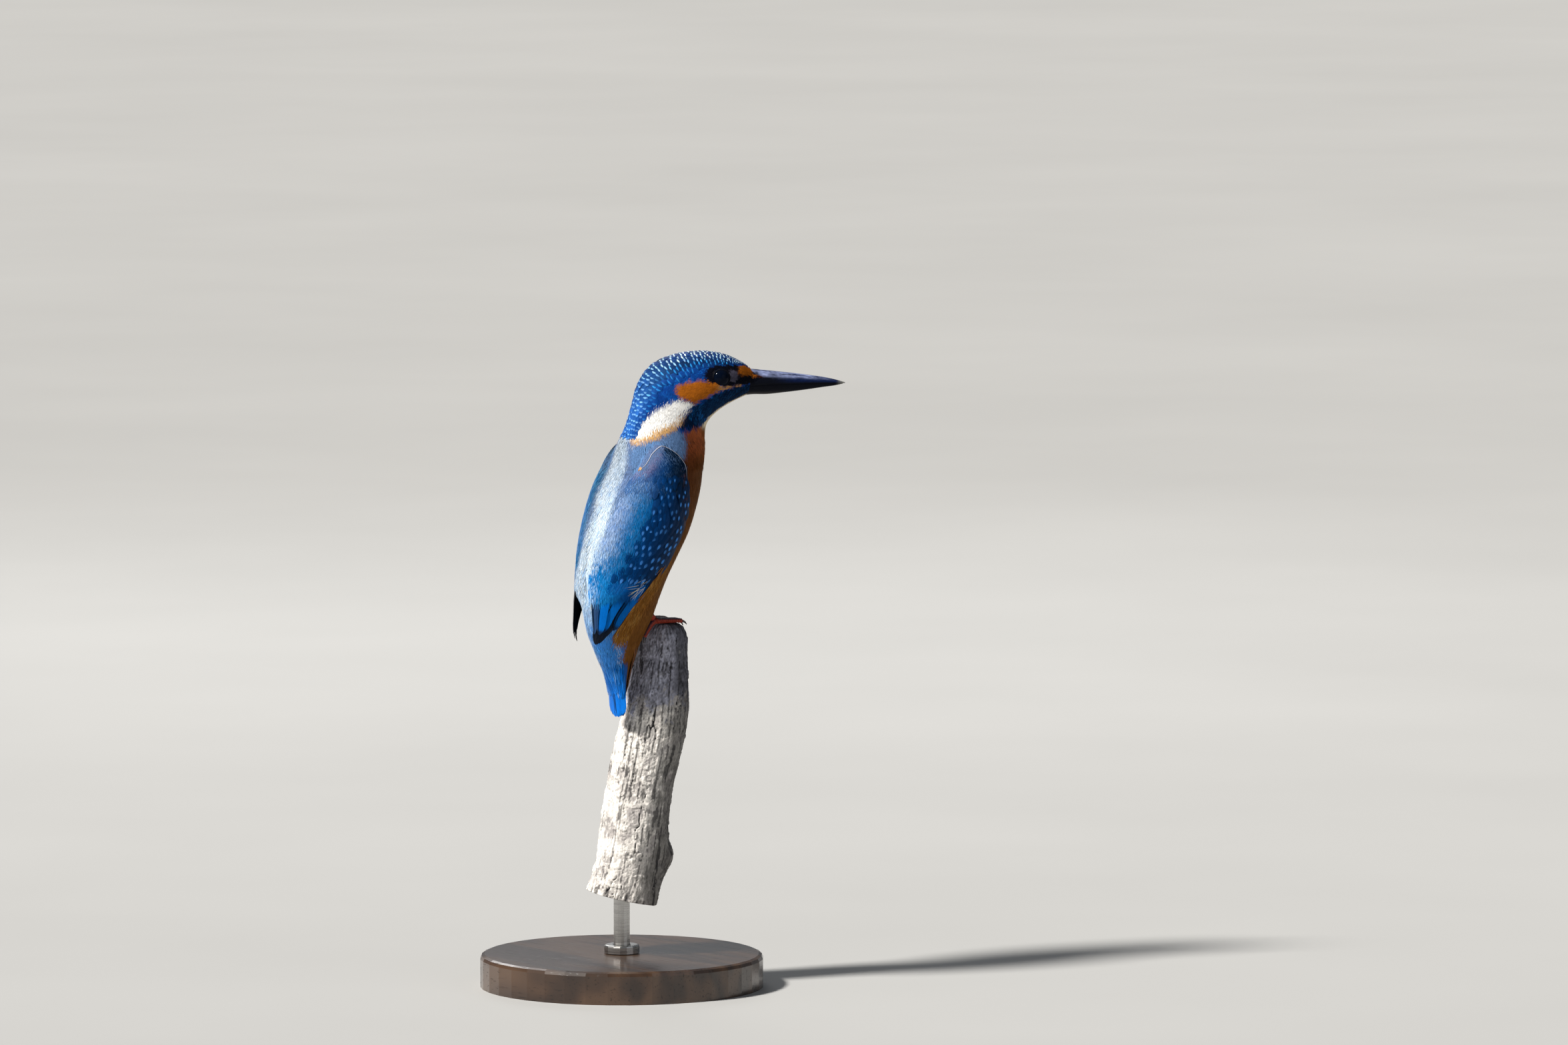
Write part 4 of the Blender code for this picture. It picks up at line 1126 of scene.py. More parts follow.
def skin():
    """One closed skin under the whole coat: the body's surface and the folded wings' bulge over it,
    less the coat's depth, with the tail's core, shanks and toes joined to it."""
    rows, sides = 230, 180
    u, v = np.linspace(0, LAST, rows)[:, None], np.linspace(-np.pi, np.pi, sides, endpoint=False)[None]
    u, v = np.broadcast_arrays(u, v)
    point, _, _, normal = body_frame(u, v)
    _, z, _ = wing_reach(u, v)
    height = wing_rise(u, v) * rises(z, 11, 6) - coat_depth(u)
    points, faces = shells((point + normal * height[..., None])[None])
    # painted shade: the skin carries the coat's colours a quarter darker, and the tail's core four tenths darker, as
    # the shade deep between the feathers
    parts = [(points, faces, coated(plumage(u, v) * 0.75, SKIN_ROUGH))]
    for table, flat_front, tint in ((TAIL, True, TAIL_BLUE), (UNDERTAIL, False, BELLY)):
        parts.append((*tail_core(table, flat_front, 0.45), np.append(tint * 0.6, SKIN_ROUGH)))
    for side in SIDES.values():
        for path, radii in limbs(side, 14):
            p, f = tubes(path, radii, 12)
            parts.append((p, f, foot_tint(np.zeros(p.size // 3))))
    points, faces, colours = joined(parts)
    _, y, z = points[rows * sides + 2 :].T
    tail_part = np.stack([BODY_SHARE + 0.01 + 0.08 * np.mod(-z / 40, 1), 0.1 + 0.8 * np.mod(y / 20, 1)], -1)
    ends = bake_place(np.array([0.0, LAST]), np.zeros(2))
    unwrap = np.concatenate([bake_place(u, v).reshape(-1, 2), ends, tail_part])
    replaced = ["head", "neck", "trunk", "tail", "undertail_coverts"]
    replaced += [f"{part}_{word}" for part in ("wing", "flight_feathers", "leg", "foot") for word in SIDES]
    make_piece("skin", points, faces, SKIN, {"OFBake": unwrap}, {"Coat": colours}, replaced=replaced)


# ---- the coat, region by region

EYE_CLEAR = 3.75  # no feather's root comes nearer to the middle of the eye
CROWN_BACK = 8.05  # section of the last row of the nape

def clear_of_eye(u, v):
    """Distance from a place of the body to the middle of the eye on its side."""
    eye = EYE_AT * np.stack([np.ones_like(v), np.sign(v), np.ones_like(v)], -1)
    return np.linalg.norm(body_frame(u, v)[0] - eye, axis=-1)


def under_wing(u, v):
    """Whether the folded wing hides a place of the trunk, so that no feather grows there."""
    t, z, _ = wing_reach(u, v)
    edge = spine_edge(z, v) + 0.06 + 0.32 * (v > 0) * falls(z, 34, 3) * rises(z, 8, 2)
    return (t > edge) & (t < np.interp(z, (8, 16, 54, 58), (0.9, 1.03, 1.03, 0.92))) & (z < 65.0) & (z > 4)


def away_from_spine(v, degrees):
    """A heading that leans away from the spine on both sides."""
    return np.sign(v) * math.radians(degrees)


def by_side(roots):
    """Roots parted into the bird's left and right, with the side's name first."""
    u, v = roots
    return [(word, u[side * v > 0], v[side * v > 0]) for word, side in SIDES.items()]


def face_coat():
    """Short feathers of the face and throat, down to the neck and clear of the eyes, with azure bars in
    the moustache stripe and paler streaks in the cobalt band."""

    def where(u, degrees, v):
        return (u < 5.6) & (degrees > crown_edge(u) - 3) & (clear_of_eye(u, v) > EYE_CLEAR)

    def tint(base, u, v, chance):
        degrees = off_spine(v)
        bars = (np.mod(u * 4.6 + degrees * 0.03, 1) > 0.66) * patch(MALAR_OUTLINE, u, degrees, 1.0)
        base = mixed(base, MALAR_BAR, bars * (0.22 + 0.4 * rises(u, 3.4, 1.5) * (chance > 0)))
        blue = (base[:, 2] > 0.18) & (base[:, 0] < 0.1)
        base = mixed(base, COBALT_STREAK, blue * (chance > 0.55) * 0.55)
        ear = patch(EAR_OUTLINE, u, degrees, 0.5)
        return mixed(base, base * 0.45, ear * rises(chance, 0.3, 0.3) * 0.6)

    for word, u, v in by_side(scatter(4.0, where, 1)):
        grow = 0.55 + 0.55 * smooth(u / 4)
        white = patch(WHITE_OUTLINE, u, off_spine(v), 1.0)
        barb_tufts(
            f"face_feathers_{word}", SOFT, (u, v), length=2.4 * grow, width=0.75 * grow * (1 + 0.7 * white),
            lean_out=9, depth=0.24, proud=0.05, seed=11, painted_shade=0.22 - 0.17 * white,
            wild=0.1, barbs=4, splay=0.10, colour=tint,
        )


def neck_coat():
    """Feathers of the neck: smooth on its nape and sides, and loosely curled where rust meets slate."""

    def where(u, degrees, v):
        return (u >= 5.4) & (u < 9.6) & (degrees > crown_edge(u) - 4) & ~under_wing(u, v)

    def curls(base, u, v, chance):
        rusty = smooth((base[:, 0] / np.maximum(base[:, 2], 1e-4) - 2) / 1.5)
        rusty = rusty * falls(u, 9.5, 1.3) * rises(off_spine(v), 98, 6)
        return mixed(base, base * (2.1, 1.75, 1.6), rusty * (0.2 + 0.8 * smooth(chance / 0.5)))

    for word, u, v in by_side(scatter(2.3, where, 2)):
        curly = rises(off_spine(v), 100, 8) * rises(u, 6.6, 0.6)
        white = patch(WHITE_OUTLINE, u, off_spine(v), 1.0)
        barb_tufts(
            f"neck_feathers_{word}", SOFT, (u, v), length=4.0 - 1.2 * curly, width=0.95 * (1 + 0.6 * white),
            lean_out=3, depth=0.45, proud=0.07 + 0.15 * curly, seed=21,
            painted_shade=0.25 + 0.3 * curly - 0.18 * white, wild=0.08 + 0.5 * curly, splay=0.10, colour=curls,
        )


def breast_coat():
    """Feathers of breast, belly and vent, a piece for each stretch of sections, some of them paler."""
    for part, start, end, seed in (("breast", 9.2, 13.2, 3), ("belly", 13.2, 17.6, 4), ("vent", 17.6, 19.1, 5)):

        def where(u, degrees, v):
            return (u >= start) & (u < end) & (degrees > 60) & ~under_wing(u, v)

        def tint(base, u, v, chance):
            return mixed(base, base * 1.7 + 0.02, rises(chance, 0.5, 0.4) * 0.5)

        u, v = scatter(1.6, where, seed)
        barb_tufts(
            f"{part}_feathers", WARM, (u, v), length=6.2, width=1.15, lean_out=-2, depth=0.9, proud=0.12,
            seed=30 + seed, painted_shade=0.35, wild=0.08, splay=0.09, rough=0.5, colour=tint, lift=off_the_tips,
        )


def back_coat():
    """Feathers of mantle, back and rump: pale ones in the bright strip as painted highlights, blue ones in it, bluer
    down it, azure streaks over the far side's teal as painted highlights, and deep blue at the tail's root."""
    for name, start, end, seed in (("mantle_feathers", 8.05, 13.0, 6), ("back_feathers", 13.0, 19.0, 7)):

        def where(u, degrees, v):
            return (u >= start) & (u < end) & (degrees < 78) & ~under_wing(u, v)

        def tint(base, u, v, chance):
            strip = rises(base[:, 0], 0.3, 0.2)
            low = rises(u, 13.6, 1.5) * falls(chance, 0.35, 0.4)
            far = rises(np.degrees(v), 14, 8) * (u < 14)
            right = smooth((14 - np.degrees(v) + 10 * chance) / 14)
            # painted highlights: near-white streaks in the strip, and azure ones over the far side's teal below
            base = mixed(base, STRIP_HIGHLIGHT, rises(chance, 0.1, 0.5) * 0.7 * strip)
            base = mixed(base, STRIP_BLUE, falls(chance, -0.5, 0.3) * 0.5 * strip)
            base = mixed(base, STRIP_LOW, low * strip * 0.6)
            base = mixed(base, FAR_HIGHLIGHT_STREAK, far * rises(chance, 0.25, 0.4) * 0.7)
            return mixed(base, RUMP_BLUE, smooth((u - 16.0 + 0.9 * chance) / 1.2) * (0.45 + 0.5 * right))

        u, v = scatter(2.1, where, seed)
        barb_tufts(
            name, SILK, (u, v), length=6.6, width=1.05, lean_out=4, depth=0.85, proud=0.10,
            seed=40 + seed, painted_shade=0.2, wild=0.06, rough=0.42, colour=tint, lift=off_the_tips,
        )


def crown_coat():
    """Barred feathers in rows from the forehead to the nape, each a short rounded blade. The rows are
    staggered, and their feathers keep the same count across, so they are finest by the bill."""
    count, lanes = 42, 6
    step = np.interp(np.linspace(0, 1, count), (0, 0.3, 1), (0.5, 1.0, 1.35))
    rows = 0.1 + (CROWN_BACK - 0.1) * np.cumsum(step) / step.sum()
    row, lane = rows_and_columns(count, 2 * lanes + 1)
    jitter = spread(51, (5, row.size))
    u = rows[row] + 0.06 * jitter[0]
    v = np.radians(crown_edge(u)) * (lane - lanes + (row % 2) * 0.5 + 0.2 * jitter[1]) / lanes
    kept = np.abs(v) <= np.radians(crown_edge(u) + 1.5)
    u, v, jitter = u[kept], v[kept], jitter[:, kept]
    mm_u, mm_v = millimetres(u, v)
    gap = np.radians(crown_edge(u)) / lanes * mm_v
    length = np.interp(u, (0, 1, 3, 7, 8), (1.6, 2.3, 3.4, 4.4, 3.6))
    heading = away_from_spine(v, 4) + 0.09 * jitter[2]
    du, dv = length * np.cos(heading) / mm_u, length * np.sin(heading) / mm_v
    paths = chart_paths(u, v, du, dv, 6, -0.5, 0.05 + 0.04 * jitter[3])
    # dark feathers, bluer to the nape and the sides, lighter over the crown's top and forehead as a painted highlight
    degrees = off_spine(v)
    from_edge = degrees - crown_edge(u)
    base = mixed(CROWN_DARK, NAPE, rises(u, 4.2, 2.8)) * (1 + 0.2 * jitter[2])[:, None]
    base = mixed(base, COBALT, rises(from_edge, -16, 14) * rises(u, 2.0, 1.5))
    base = base * (1 + 1.2 * falls(degrees, 44, 20) * falls(u, 5.5, 2))[:, None]
    # azure bars by their tips, fainter toward the cobalt band and on some feathers, and near white on the crown's top
    # as a painted highlight
    strong = np.interp(u, (0, 1.0, 3.5, 5.5, 9), (0.7, 1.0, 1.0, 0.8, 0.6))
    strong = strong * (1 - 0.6 * rises(from_edge, -18, 16) * rises(u, 1.6, 1.2))
    strong = strong * (1 - 0.5 * (jitter[4] > 0.75))
    side_on = np.maximum(rises(degrees, 22, 22), rises(u, 3.0, 2.5) * 0.7)
    tone = mixed(AZURE * (2.6, 1.7, 1.2), AZURE_SIDE, side_on)
    mark = np.c_[tone * (1 + 0.3 * jitter[0])[:, None], strong * (0.8 + 0.2 * jitter[1])]

    half, roots, tint = np.clip(gap * 0.60, 0.45, 1.6), bake_place(u, v), shaded_to_root(base, 0.7, 0.3)
    blades("crown_feathers", BARRED, paths, half, roots, tint, 0.42, 0.16, 0.08, 7, 0.2, mark)


def wing_lattice(z_top, z_low, step, t_low, t_high, columns, seed):
    """Roots in staggered rows over the wing, as heights and places across, with their random draws."""
    count = int((z_top - z_low) / step)
    row, column = rows_and_columns(count, columns)
    jitter = spread(seed, (4, row.size))
    z = z_top - (row + 0.25 * jitter[0]) * step
    t = t_low + (t_high - t_low) * (column + (row % 2) * 0.5 + 0.25 * jitter[1]) / (columns - 0.5)
    return z, np.clip(t, -0.98, 0.98), jitter


def paths_on_wing(side, z, t, height):
    """Blade paths through given heights and places across the folded wing, at a height over its face."""
    _, _, outside, inside = wing_table(side, z)
    rise = wing_face(t, outside, inside) * smooth((WING_TOP - z) / 3)
    point, _, _, normal = body_frame(*wing_place(side, z, t))
    return laid(point + normal * (rise + height)[..., None], normal)


def wing_paths(side, z, t, z_end, t_end, rings, low, high):
    """Blade paths over the folded wing from (z, t) to (z_end, t_end), each straight in those terms."""
    s = np.linspace(0, 1, rings)
    across = np.clip(ramped(t, t_end, s), -1.15, 1.15)
    return paths_on_wing(side, ramped(z, z_end, s), across, ramped(low, high, smooth(s * 1.5)))


def wing_tone(z, t):
    """Ground colour of the wing: lilac grey over its bend, teal by the spine, blue over its middle,
    dark along its front."""
    tone = mixed(TEAL, WING_BLUE, np.maximum(rises(t, -0.6, 0.35), rises(z, 38, 8)))
    tone = mixed(tone, WING_DARK, rises(t, 0.25, 0.5))
    tone = mixed(tone, SHOULDER_DEEP, rises(z, 55, 6) * falls(t, 0.45, 0.8) * 0.8)
    below = rises(z, 46, 3) * falls(z, 58, 3) * falls(t, 0.1, 0.5)
    return mixed(tone, SHOULDER_BLUE, below * 0.8)


def scapular_tone(z, t, near):
    """Slate at the shoulder, a pale lilac sheen painted into the colour below it, then teal blue to the feathers'
    tips.
    """
    tone = mixed(TEAL * (1 + 0.5 * falls(z, 31, 9))[..., None], SLATE, rises(z, 48, 10))
    sheen = rises(z, 27, 9) * falls(z, 56, 8) * falls(t, -0.4, 0.6) * near
    tone = mixed(tone, PAINTED_SHEEN, sheen * 0.85)
    return mixed(tone, WING_BLUE * 1.5, rises(t, -0.35, 0.5))


def wing_coverts():
    """Small and middle coverts in staggered rows, many tipped with an azure spot on the wing's front
    two thirds."""
    columns = 13
    for word, side in SIDES.items():
        z, t, jitter = wing_lattice(57.5, 20.0, 2.35, -1.0, 0.99, columns, 61 + side)
        kept = t > np.interp(z, (20, 30, 50, 56, 60), (-0.3, -0.2, -0.1, -0.3, -0.3))
        z, t, jitter = z[kept], t[kept], jitter[:, kept]
        fore, aft, _, _ = wing_table(side, z)
        gap = np.radians(fore - aft) / (columns - 1) * 14.5
        length = np.interp(z, (20, 50, 66), (7.5, 6.5, 3.6)) + 0.5 * jitter[2]
        lean = -0.10 * (z < 45) * (t > 0.3)
        paths = wing_paths(side, z, t, z - length, t + lean, 7, -0.6, 0.03 + 0.05 * jitter[3])
        tone = wing_tone(z, t) * (0.85 + 0.12 * jitter[0])[:, None]
        spotted = rises(t, -0.30, 0.15) * (1 - 0.5 * falls(z, 25, 4)) * (jitter[1] > -0.35)
        spotted = spotted * smooth((np.interp(t, (-0.3, 0.3, 0.7), (54, 59, 63)) - z) / 3)
        mark = np.c_[COVERT_SPOT * (0.9 + 0.3 * jitter[2])[:, None], spotted * (0.8 + 0.2 * jitter[3])]

        def tint(i, s, x):
            # a painted shade toward the root, where the row above covers it, a little lighter toward the edges
            return tone[i] * (0.75 + 0.25 * s + 0.08 * np.abs(x))[..., None]

        roots, half = wing_bake(side, z, t), np.clip(gap * 0.78, 0.9, 2.2)
        blades(f"coverts_{word}", SPOTTED, paths, half, roots, tint, 0.42, 0.12, 0.1, 5, 0.45, mark)


# The rim of the folded wing's bend, from the orange fleck by the back over the top to the breast.
RIM = np.array([
    (57.2, -0.93), (57.9, -0.79), (59.8, -0.68), (62.1, -0.59), (64.0, -0.32), (65.0, 0.10),
    (65.2, 0.50), (64.6, 0.84), (63.0, 0.92), (60.9, 0.93), (57.5, 0.94), (54.5, 0.95),
])


def bend_rim():
    """The pale line along the rim, one thin raised blade, and on the right the orange fleck where it
    starts. The left fleck lies under the shoulder's feathers."""
    for word, side in SIDES.items():
        rim = RIM if side < 0 else RIM[4:]
        z, t = spline(np.linspace(0, 1, len(rim)), rim, np.linspace(0, 1, 60)).T

        def pale(i, s, x):
            bright = np.interp(s, (0, 0.15, 0.45, 0.6, 1), (0.55, 0.75, 1.0, 0.7, 0.2))
            return RIM_PALE * (bright * np.ones_like(x))[..., None]

        paths, roots = paths_on_wing(side, z[None], t[None], 0.12), wing_bake(side, *RIM[:1].T)
        blades(f"bend_rim_{word}", SILK, paths, 0.10, roots, pale, 0.5, 0.6, 0.1, 5, 0.05)
    n = 14
    j = spread(141, (3, n))
    z, t = 57.6 + 0.35 * j[0], -0.90 + 0.045 * j[1]

    def orange(i, s, x):
        return mixed(FLECK, FLECK_DARK, (i % 3 == 0) * np.ones_like(s * x))

    paths = wing_paths(-1, z, t, z - 0.8, t - 0.03, 5, -0.2, 0.13 + 0.05 * j[2])
    roots = wing_bake(-1, z, t)
    blades("bend_fleck_right", SILK, paths, 0.16, roots, orange, 0.5, 0.3, 0.08, 3, 0.5)


def bend_feathers():
    """Fine short feathers over the folded wing's bend: grey lilac just inside its rim, dark blue beyond."""

    def where(u, degrees, v):
        t, z, _ = wing_reach(u, v)
        return (z > 51) & (z < 67) & (np.abs(t) < 1.02)

    def tint(base, u, v, chance):
        t, z, _ = wing_reach(u, v)
        tone = mixed(wing_tone(z, t), BEND_STREAK, rises(chance, 0.45, 0.4) * 0.5)
        tone = tone * (1 - 0.72 * rises(t, -0.1, 0.5) * (z < 66))[:, None]
        from_rim = np.hypot(z[..., None] - RIM[:8, 0], 7 * (t[..., None] - RIM[:8, 1])).min(-1)
        tone = mixed(tone, BEND_LILAC, np.exp(-((from_rim / 1.9) ** 2)) * falls(t, 0.15, 0.5) * 0.9)
        above = smooth((z - np.interp(t, RIM[:7, 1], RIM[:7, 0])) / 0.4) * (t < 0.6)
        tone = mixed(tone, SLATE_GREY * 1.1, above)
        far = (v > 0) * falls(t, 0.2, 0.6)
        tone = mixed(tone, FAR_BEND, far)
        # painted highlights: pale azure streaks over the far wing's bend
        return mixed(tone, FAR_BEND_HIGHLIGHT, far * rises(chance, 0.2, 0.4) * 0.6)

    u, v = scatter(4.0, where, 9)
    barb_tufts(
        "bend_feathers", SILK, (u, v), length=3.0, width=0.8, lean_out=4, depth=0.35,
        proud=0.08, seed=85, painted_shade=0.2, wild=0.07, barbs=4, rough=0.45, colour=tint,
    )


def scapulars():
    """Long silky feathers from the shoulder over the wing's edge by the spine. Their patch ends in a
    ripple below, and across the wing at a limit that follows the height."""
    limits = (8, 14, 24, 32, 48, 55, 58.5, 60, 61), (0.6, 0.45, 0.2, 0.0, -0.1, -0.3, -0.75, -1.35, -1.35)

    def where(u, degrees, v):
        t, z, _ = wing_reach(u, v)
        ripple = 1.4 * np.sin(degrees * 1.3) + 1.1 * np.sin(degrees * 3.7 + 1)
        low = 15.2 + 1.6 * rises(t, -0.5, 0.8) + ripple
        low = low + np.where(v < 0, 0.0, 16 * falls(t, -0.3, 0.25))
        on_edge = t > np.maximum(spine_edge(z, v) - 0.02, -1.3)
        return (z < 64) & (z > low) & on_edge & (t < np.interp(z, *limits))

    def tint(base, u, v, chance):
        t, z, _ = wing_reach(u, v)
        tone = scapular_tone(z, t, np.where(v < 0, 1.0, 0.15))
        sheen = rises(chance, 0.35, 0.5) * rises(z, 14, 20) * falls(t, -0.1, 0.5)
        # painted sheen: pale streaks on some scapulars
        tone = mixed(tone, PAINTED_SHEEN_STREAK, sheen * 0.28)
        tone = mixed(tone, DEEP_STREAK, falls(chance, -0.3, 0.4) * 0.5)
        edge = (v < 0) * falls(t, -0.55, 0.3) * falls(z, 42, 10)
        return mixed(tone, EDGE_STREAK, edge * rises(chance, 0.1, 0.3) * 0.75)

    u, v = scatter(2.1, where, 8)
    barb_tufts(
        "scapular_feathers", SILK, (u, v), length=6.4, width=1.05, lean_out=6, depth=0.6,
        proud=0.14, seed=81, painted_shade=0.25, wild=0.07, rough=0.42, colour=tint,
    )


def shaded_to_root(tone, low, rise):
    """Blade colours: each feather's own tone with a painted shade at its root, lightening from low at its root by rise
    at its tip.
    """

    def tint(i, s, x):
        return tone[i] * (low + rise * s)[..., None]

    return tint


# The long feathers at the tip of each folded wing, uppermost first: height and place across at the
# start and at the end of the shaft, widths of the web toward the spine and of the other, and how
# far each lies under the coat's face. For each side, five of the upper set and then the lower five.
VANES = {
    -1: (
        (18.0, -0.98, -0.4, -0.16, 0.9, 1.8, -0.05),
        (18.0, -0.60, -0.2, 0.02, 1.3, 4.1, 0.10),
        (20.0, 0.04, 0.6, 0.20, 1.1, 4.0, -0.12),
        (21.0, 0.42, 1.2, 0.90, 1.0, 3.6, -0.34),
        (24.0, 0.72, 5.0, 0.99, 1.0, 2.4, -0.50),
        (16.0, -0.40, -4.2, -0.02, 1.3, 1.9, -0.75),
        (16.0, -0.10, -4.6, 0.22, 1.3, 1.9, -0.82),
        (16.0, 0.20, -4.4, 0.48, 1.3, 1.9, -0.90),
        (16.0, 0.50, -4.0, 0.80, 1.3, 1.9, -0.98),
        (14.0, 0.80, -2.2, 1.05, 1.1, 1.3, -1.05),
    ),
    1: (
        (29.0, -0.98, -1.2, -0.52, 1.0, 2.6, 0.10),
        (27.0, -0.70, -2.6, -0.40, 1.7, 2.8, -0.05),
        (25.0, -0.35, -2.0, -0.27, 1.7, 3.0, -0.20),
        (24.0, 0.05, -0.8, -0.12, 1.7, 3.0, -0.35),
        (24.0, 0.45, 2.0, 0.15, 1.5, 2.8, -0.50),
        (18.0, -0.50, -3.6, -0.38, 1.7, 1.9, -0.65),
        (18.0, -0.20, -3.2, -0.28, 1.7, 1.9, -0.75),
        (18.0, 0.10, -2.6, -0.16, 1.7, 1.9, -0.85),
        (18.0, 0.40, -1.6, 0.00, 1.7, 1.9, -0.95),
        (18.0, 0.70, 0.0, 0.20, 1.5, 1.9, -1.05),
    ),
}


QUILL_DEPTH = -1.2  # how far under the coat's face the long feathers start


def vane_paths(side, vanes, rings):
    """Paths down the middle of each long feather, set off from its shaft toward the breast by half
    the difference between its webs; then its half width and how far its shaft is off the middle."""
    z0, t0, z1, t1, inner, outer, layer = vanes.T
    centre, sideways, normal = wing_paths(side, z0, t0, z1, t1, rings, QUILL_DEPTH, layer)
    half, off = (inner + outer) / 2, (outer - inner) / 2
    return (centre - side * sideways * off[:, None, None], sideways, normal), half, off / half


def greater_coverts(word, side):
    """Eight broad feathers over the roots of the long ones, blue to dark toward the breast: the web
    toward the breast in the feather's own tone, the other darker."""
    n = 8
    t = np.linspace(-0.15, 0.9, n)
    j = spread(71 + side, (3, n))
    z, z_end = np.full(n, 32.0), np.interp(t, (-0.15, 0.3, 0.9), (12.0, 15.0, 22.0)) + j[1]
    tone = mixed(VANE_BLUE * 0.8, WING_DARK, rises(t, 0.1, 0.5)) * (1 + 0.12 * j[0])[:, None]

    def tint(i, s, x):
        # the factor along s is a painted shade toward the root
        return mixed(tone[i], tone[i] * 0.6, smooth((x * side + 0.15) / 0.25)) * (0.8 + 0.2 * s)[..., None]

    paths = wing_paths(side, z, t, z_end, t * 0.95, 14, -0.9, -0.12 + 0.05 * np.arange(n) / n)
    mark, roots = np.tile([*GREATER_SPOT, 0.2], (n, 1)), wing_bake(side, z, t)
    blades(f"greater_coverts_{word}", SPOTTED, paths, 2.3, roots, tint, 0.38, 0.1, 0.12, 7, 0.2, mark)


def vane_tones(name, side, count):
    """Colours of the long feathers' outer and inner webs. The uppermost secondaries are slate on the
    right and black on the left, the others blue, and the primaries are black. On the right the second
    one's inner web is dark in its own tone and darker still as a painted shadow of the feather over it."""
    if name == "primaries":
        outer = np.tile(QUILL_BLACK, (count, 1))
        outer[4] = QUILL_BROWN
        return outer, outer * 0.6
    outer = VANE_BLUE * np.linspace(1.1, 0.7, count)[:, None]
    outer[0] = VANE_SLATE
    if side > 0:
        outer[:2] = QUILL_BLACK
    inner = outer * 0.3
    inner[0 if side > 0 else 1] = VANE_SOOT if side > 0 else VANE_SHADE
    return outer, inner


def flight_feathers():
    """Greater coverts, then the long feathers of both folded wings, parted in colour at the shaft and
    with black tips on the blue ones."""
    for word, side in SIDES.items():
        greater_coverts(word, side)
        for name, vanes in zip(("secondaries", "primaries"), np.split(np.array(VANES[side]), 2)):
            paths, half, shaft = vane_paths(side, vanes, 20)
            outer, inner = vane_tones(name, side, len(vanes))

            def tint(i, s, x):
                colour = mixed(inner[i], outer[i], smooth((shaft[i] - side * x + 0.05) / 0.1))
                colour = mixed(colour, QUILL_BLACK, rises(s, 0.88, 0.08) * 0.9 * (outer[i][..., 2] > 0.2))
                if side > 0:
                    colour = mixed(colour, VANE_FAWN, falls(s, 0.40, 0.15) * (i < 1))
                # a painted shade toward the root, under the coverts
                return colour * (0.85 + 0.15 * s)[..., None]

            roots, off = wing_bake(side, vanes[:, 0], vanes[:, 1]), shaft[:, None, None] * side
            blades(f"{name}_{word}", LONG, paths, half, roots, tint, 0.36, 0.06, 0.14, 9, 0.24, None, off, 0.4)


def tail_blade_paths(table, q0, q1, z0, z1, rings, rise, flat_front):
    """Blade paths down the tail from (q0, z0) to (q1, z1), raised over its rounded face. The face's
    normal is square to a small step down it and one across it, turned outwards."""
    s = np.linspace(0, 1, rings)
    z, q, step = ramped(z0, z1, s), ramped(q0, q1, s), 1e-3
    centre = tail_surface(table, z, q, flat_front)
    along = tail_surface(table, z - step, q, flat_front) - centre
    around = tail_surface(table, z, q + step, flat_front) - tail_surface(table, z, q - step, flat_front)
    normal = unit(np.cross(around, along))
    normal = normal * np.sign(normal[..., :1]) * (-1 if flat_front else 1)
    return laid(centre + normal * rise[:, None, None], normal)


def tail_feathers():
    """Twelve tail feathers in a closed fan, the middle pair on top, over as many dark ones that show
    from below and lie in one flat sheet."""
    n = 12
    q = np.linspace(-0.82, 0.82, n)
    z0, z1 = np.full(n, -5.0), np.where(np.abs(q) < 0.2, -32.6, -33.2 + 0.9 * np.abs(q))
    wobble = spread(91, (2, n))
    tone = TAIL_BLUE * (1 + 0.15 * wobble[0])[:, None]
    roots = np.stack([0.95 + 0 * q, 0.5 + 0.4 * q], -1)

    def blue(i, s, x):
        light = rises(np.abs(x), 0.6, 0.4) * 0.25
        # a little darker toward the root as painted shade
        return mixed(tone[i] * (0.9 + 0.1 * s)[..., None], TAIL_EDGE, light)

    def dark(i, s, x):
        return QUILL_BLACK * 1.5 * (0.8 + 0.4 * np.abs(x))[..., None]

    paths = tail_blade_paths(TAIL, q, q * 0.78, z0, z1 + 0.3 * wobble[1], 18, 0.4 * (1 - np.abs(q)) - 0.55, True)
    blades("tail_feathers", LONG, paths, 1.7, roots, blue, 0.36, 0.14, 0.14, 7, 0.12)
    centre, _, normal = tail_blade_paths(TAIL, q, q * 0.78, z0, z1 + 0.5, 14, -0.9 + 0 * q, True)
    paths = laid(centre * (0, 1, 1) + (TAIL_BACK_X, 0, 0), np.broadcast_to((1.0, 0, 0), normal.shape))
    blades("tail_feathers_below", LONG, paths, 1.3, roots, dark, 0.45, 0.1, 0.1, 5, 0.12)


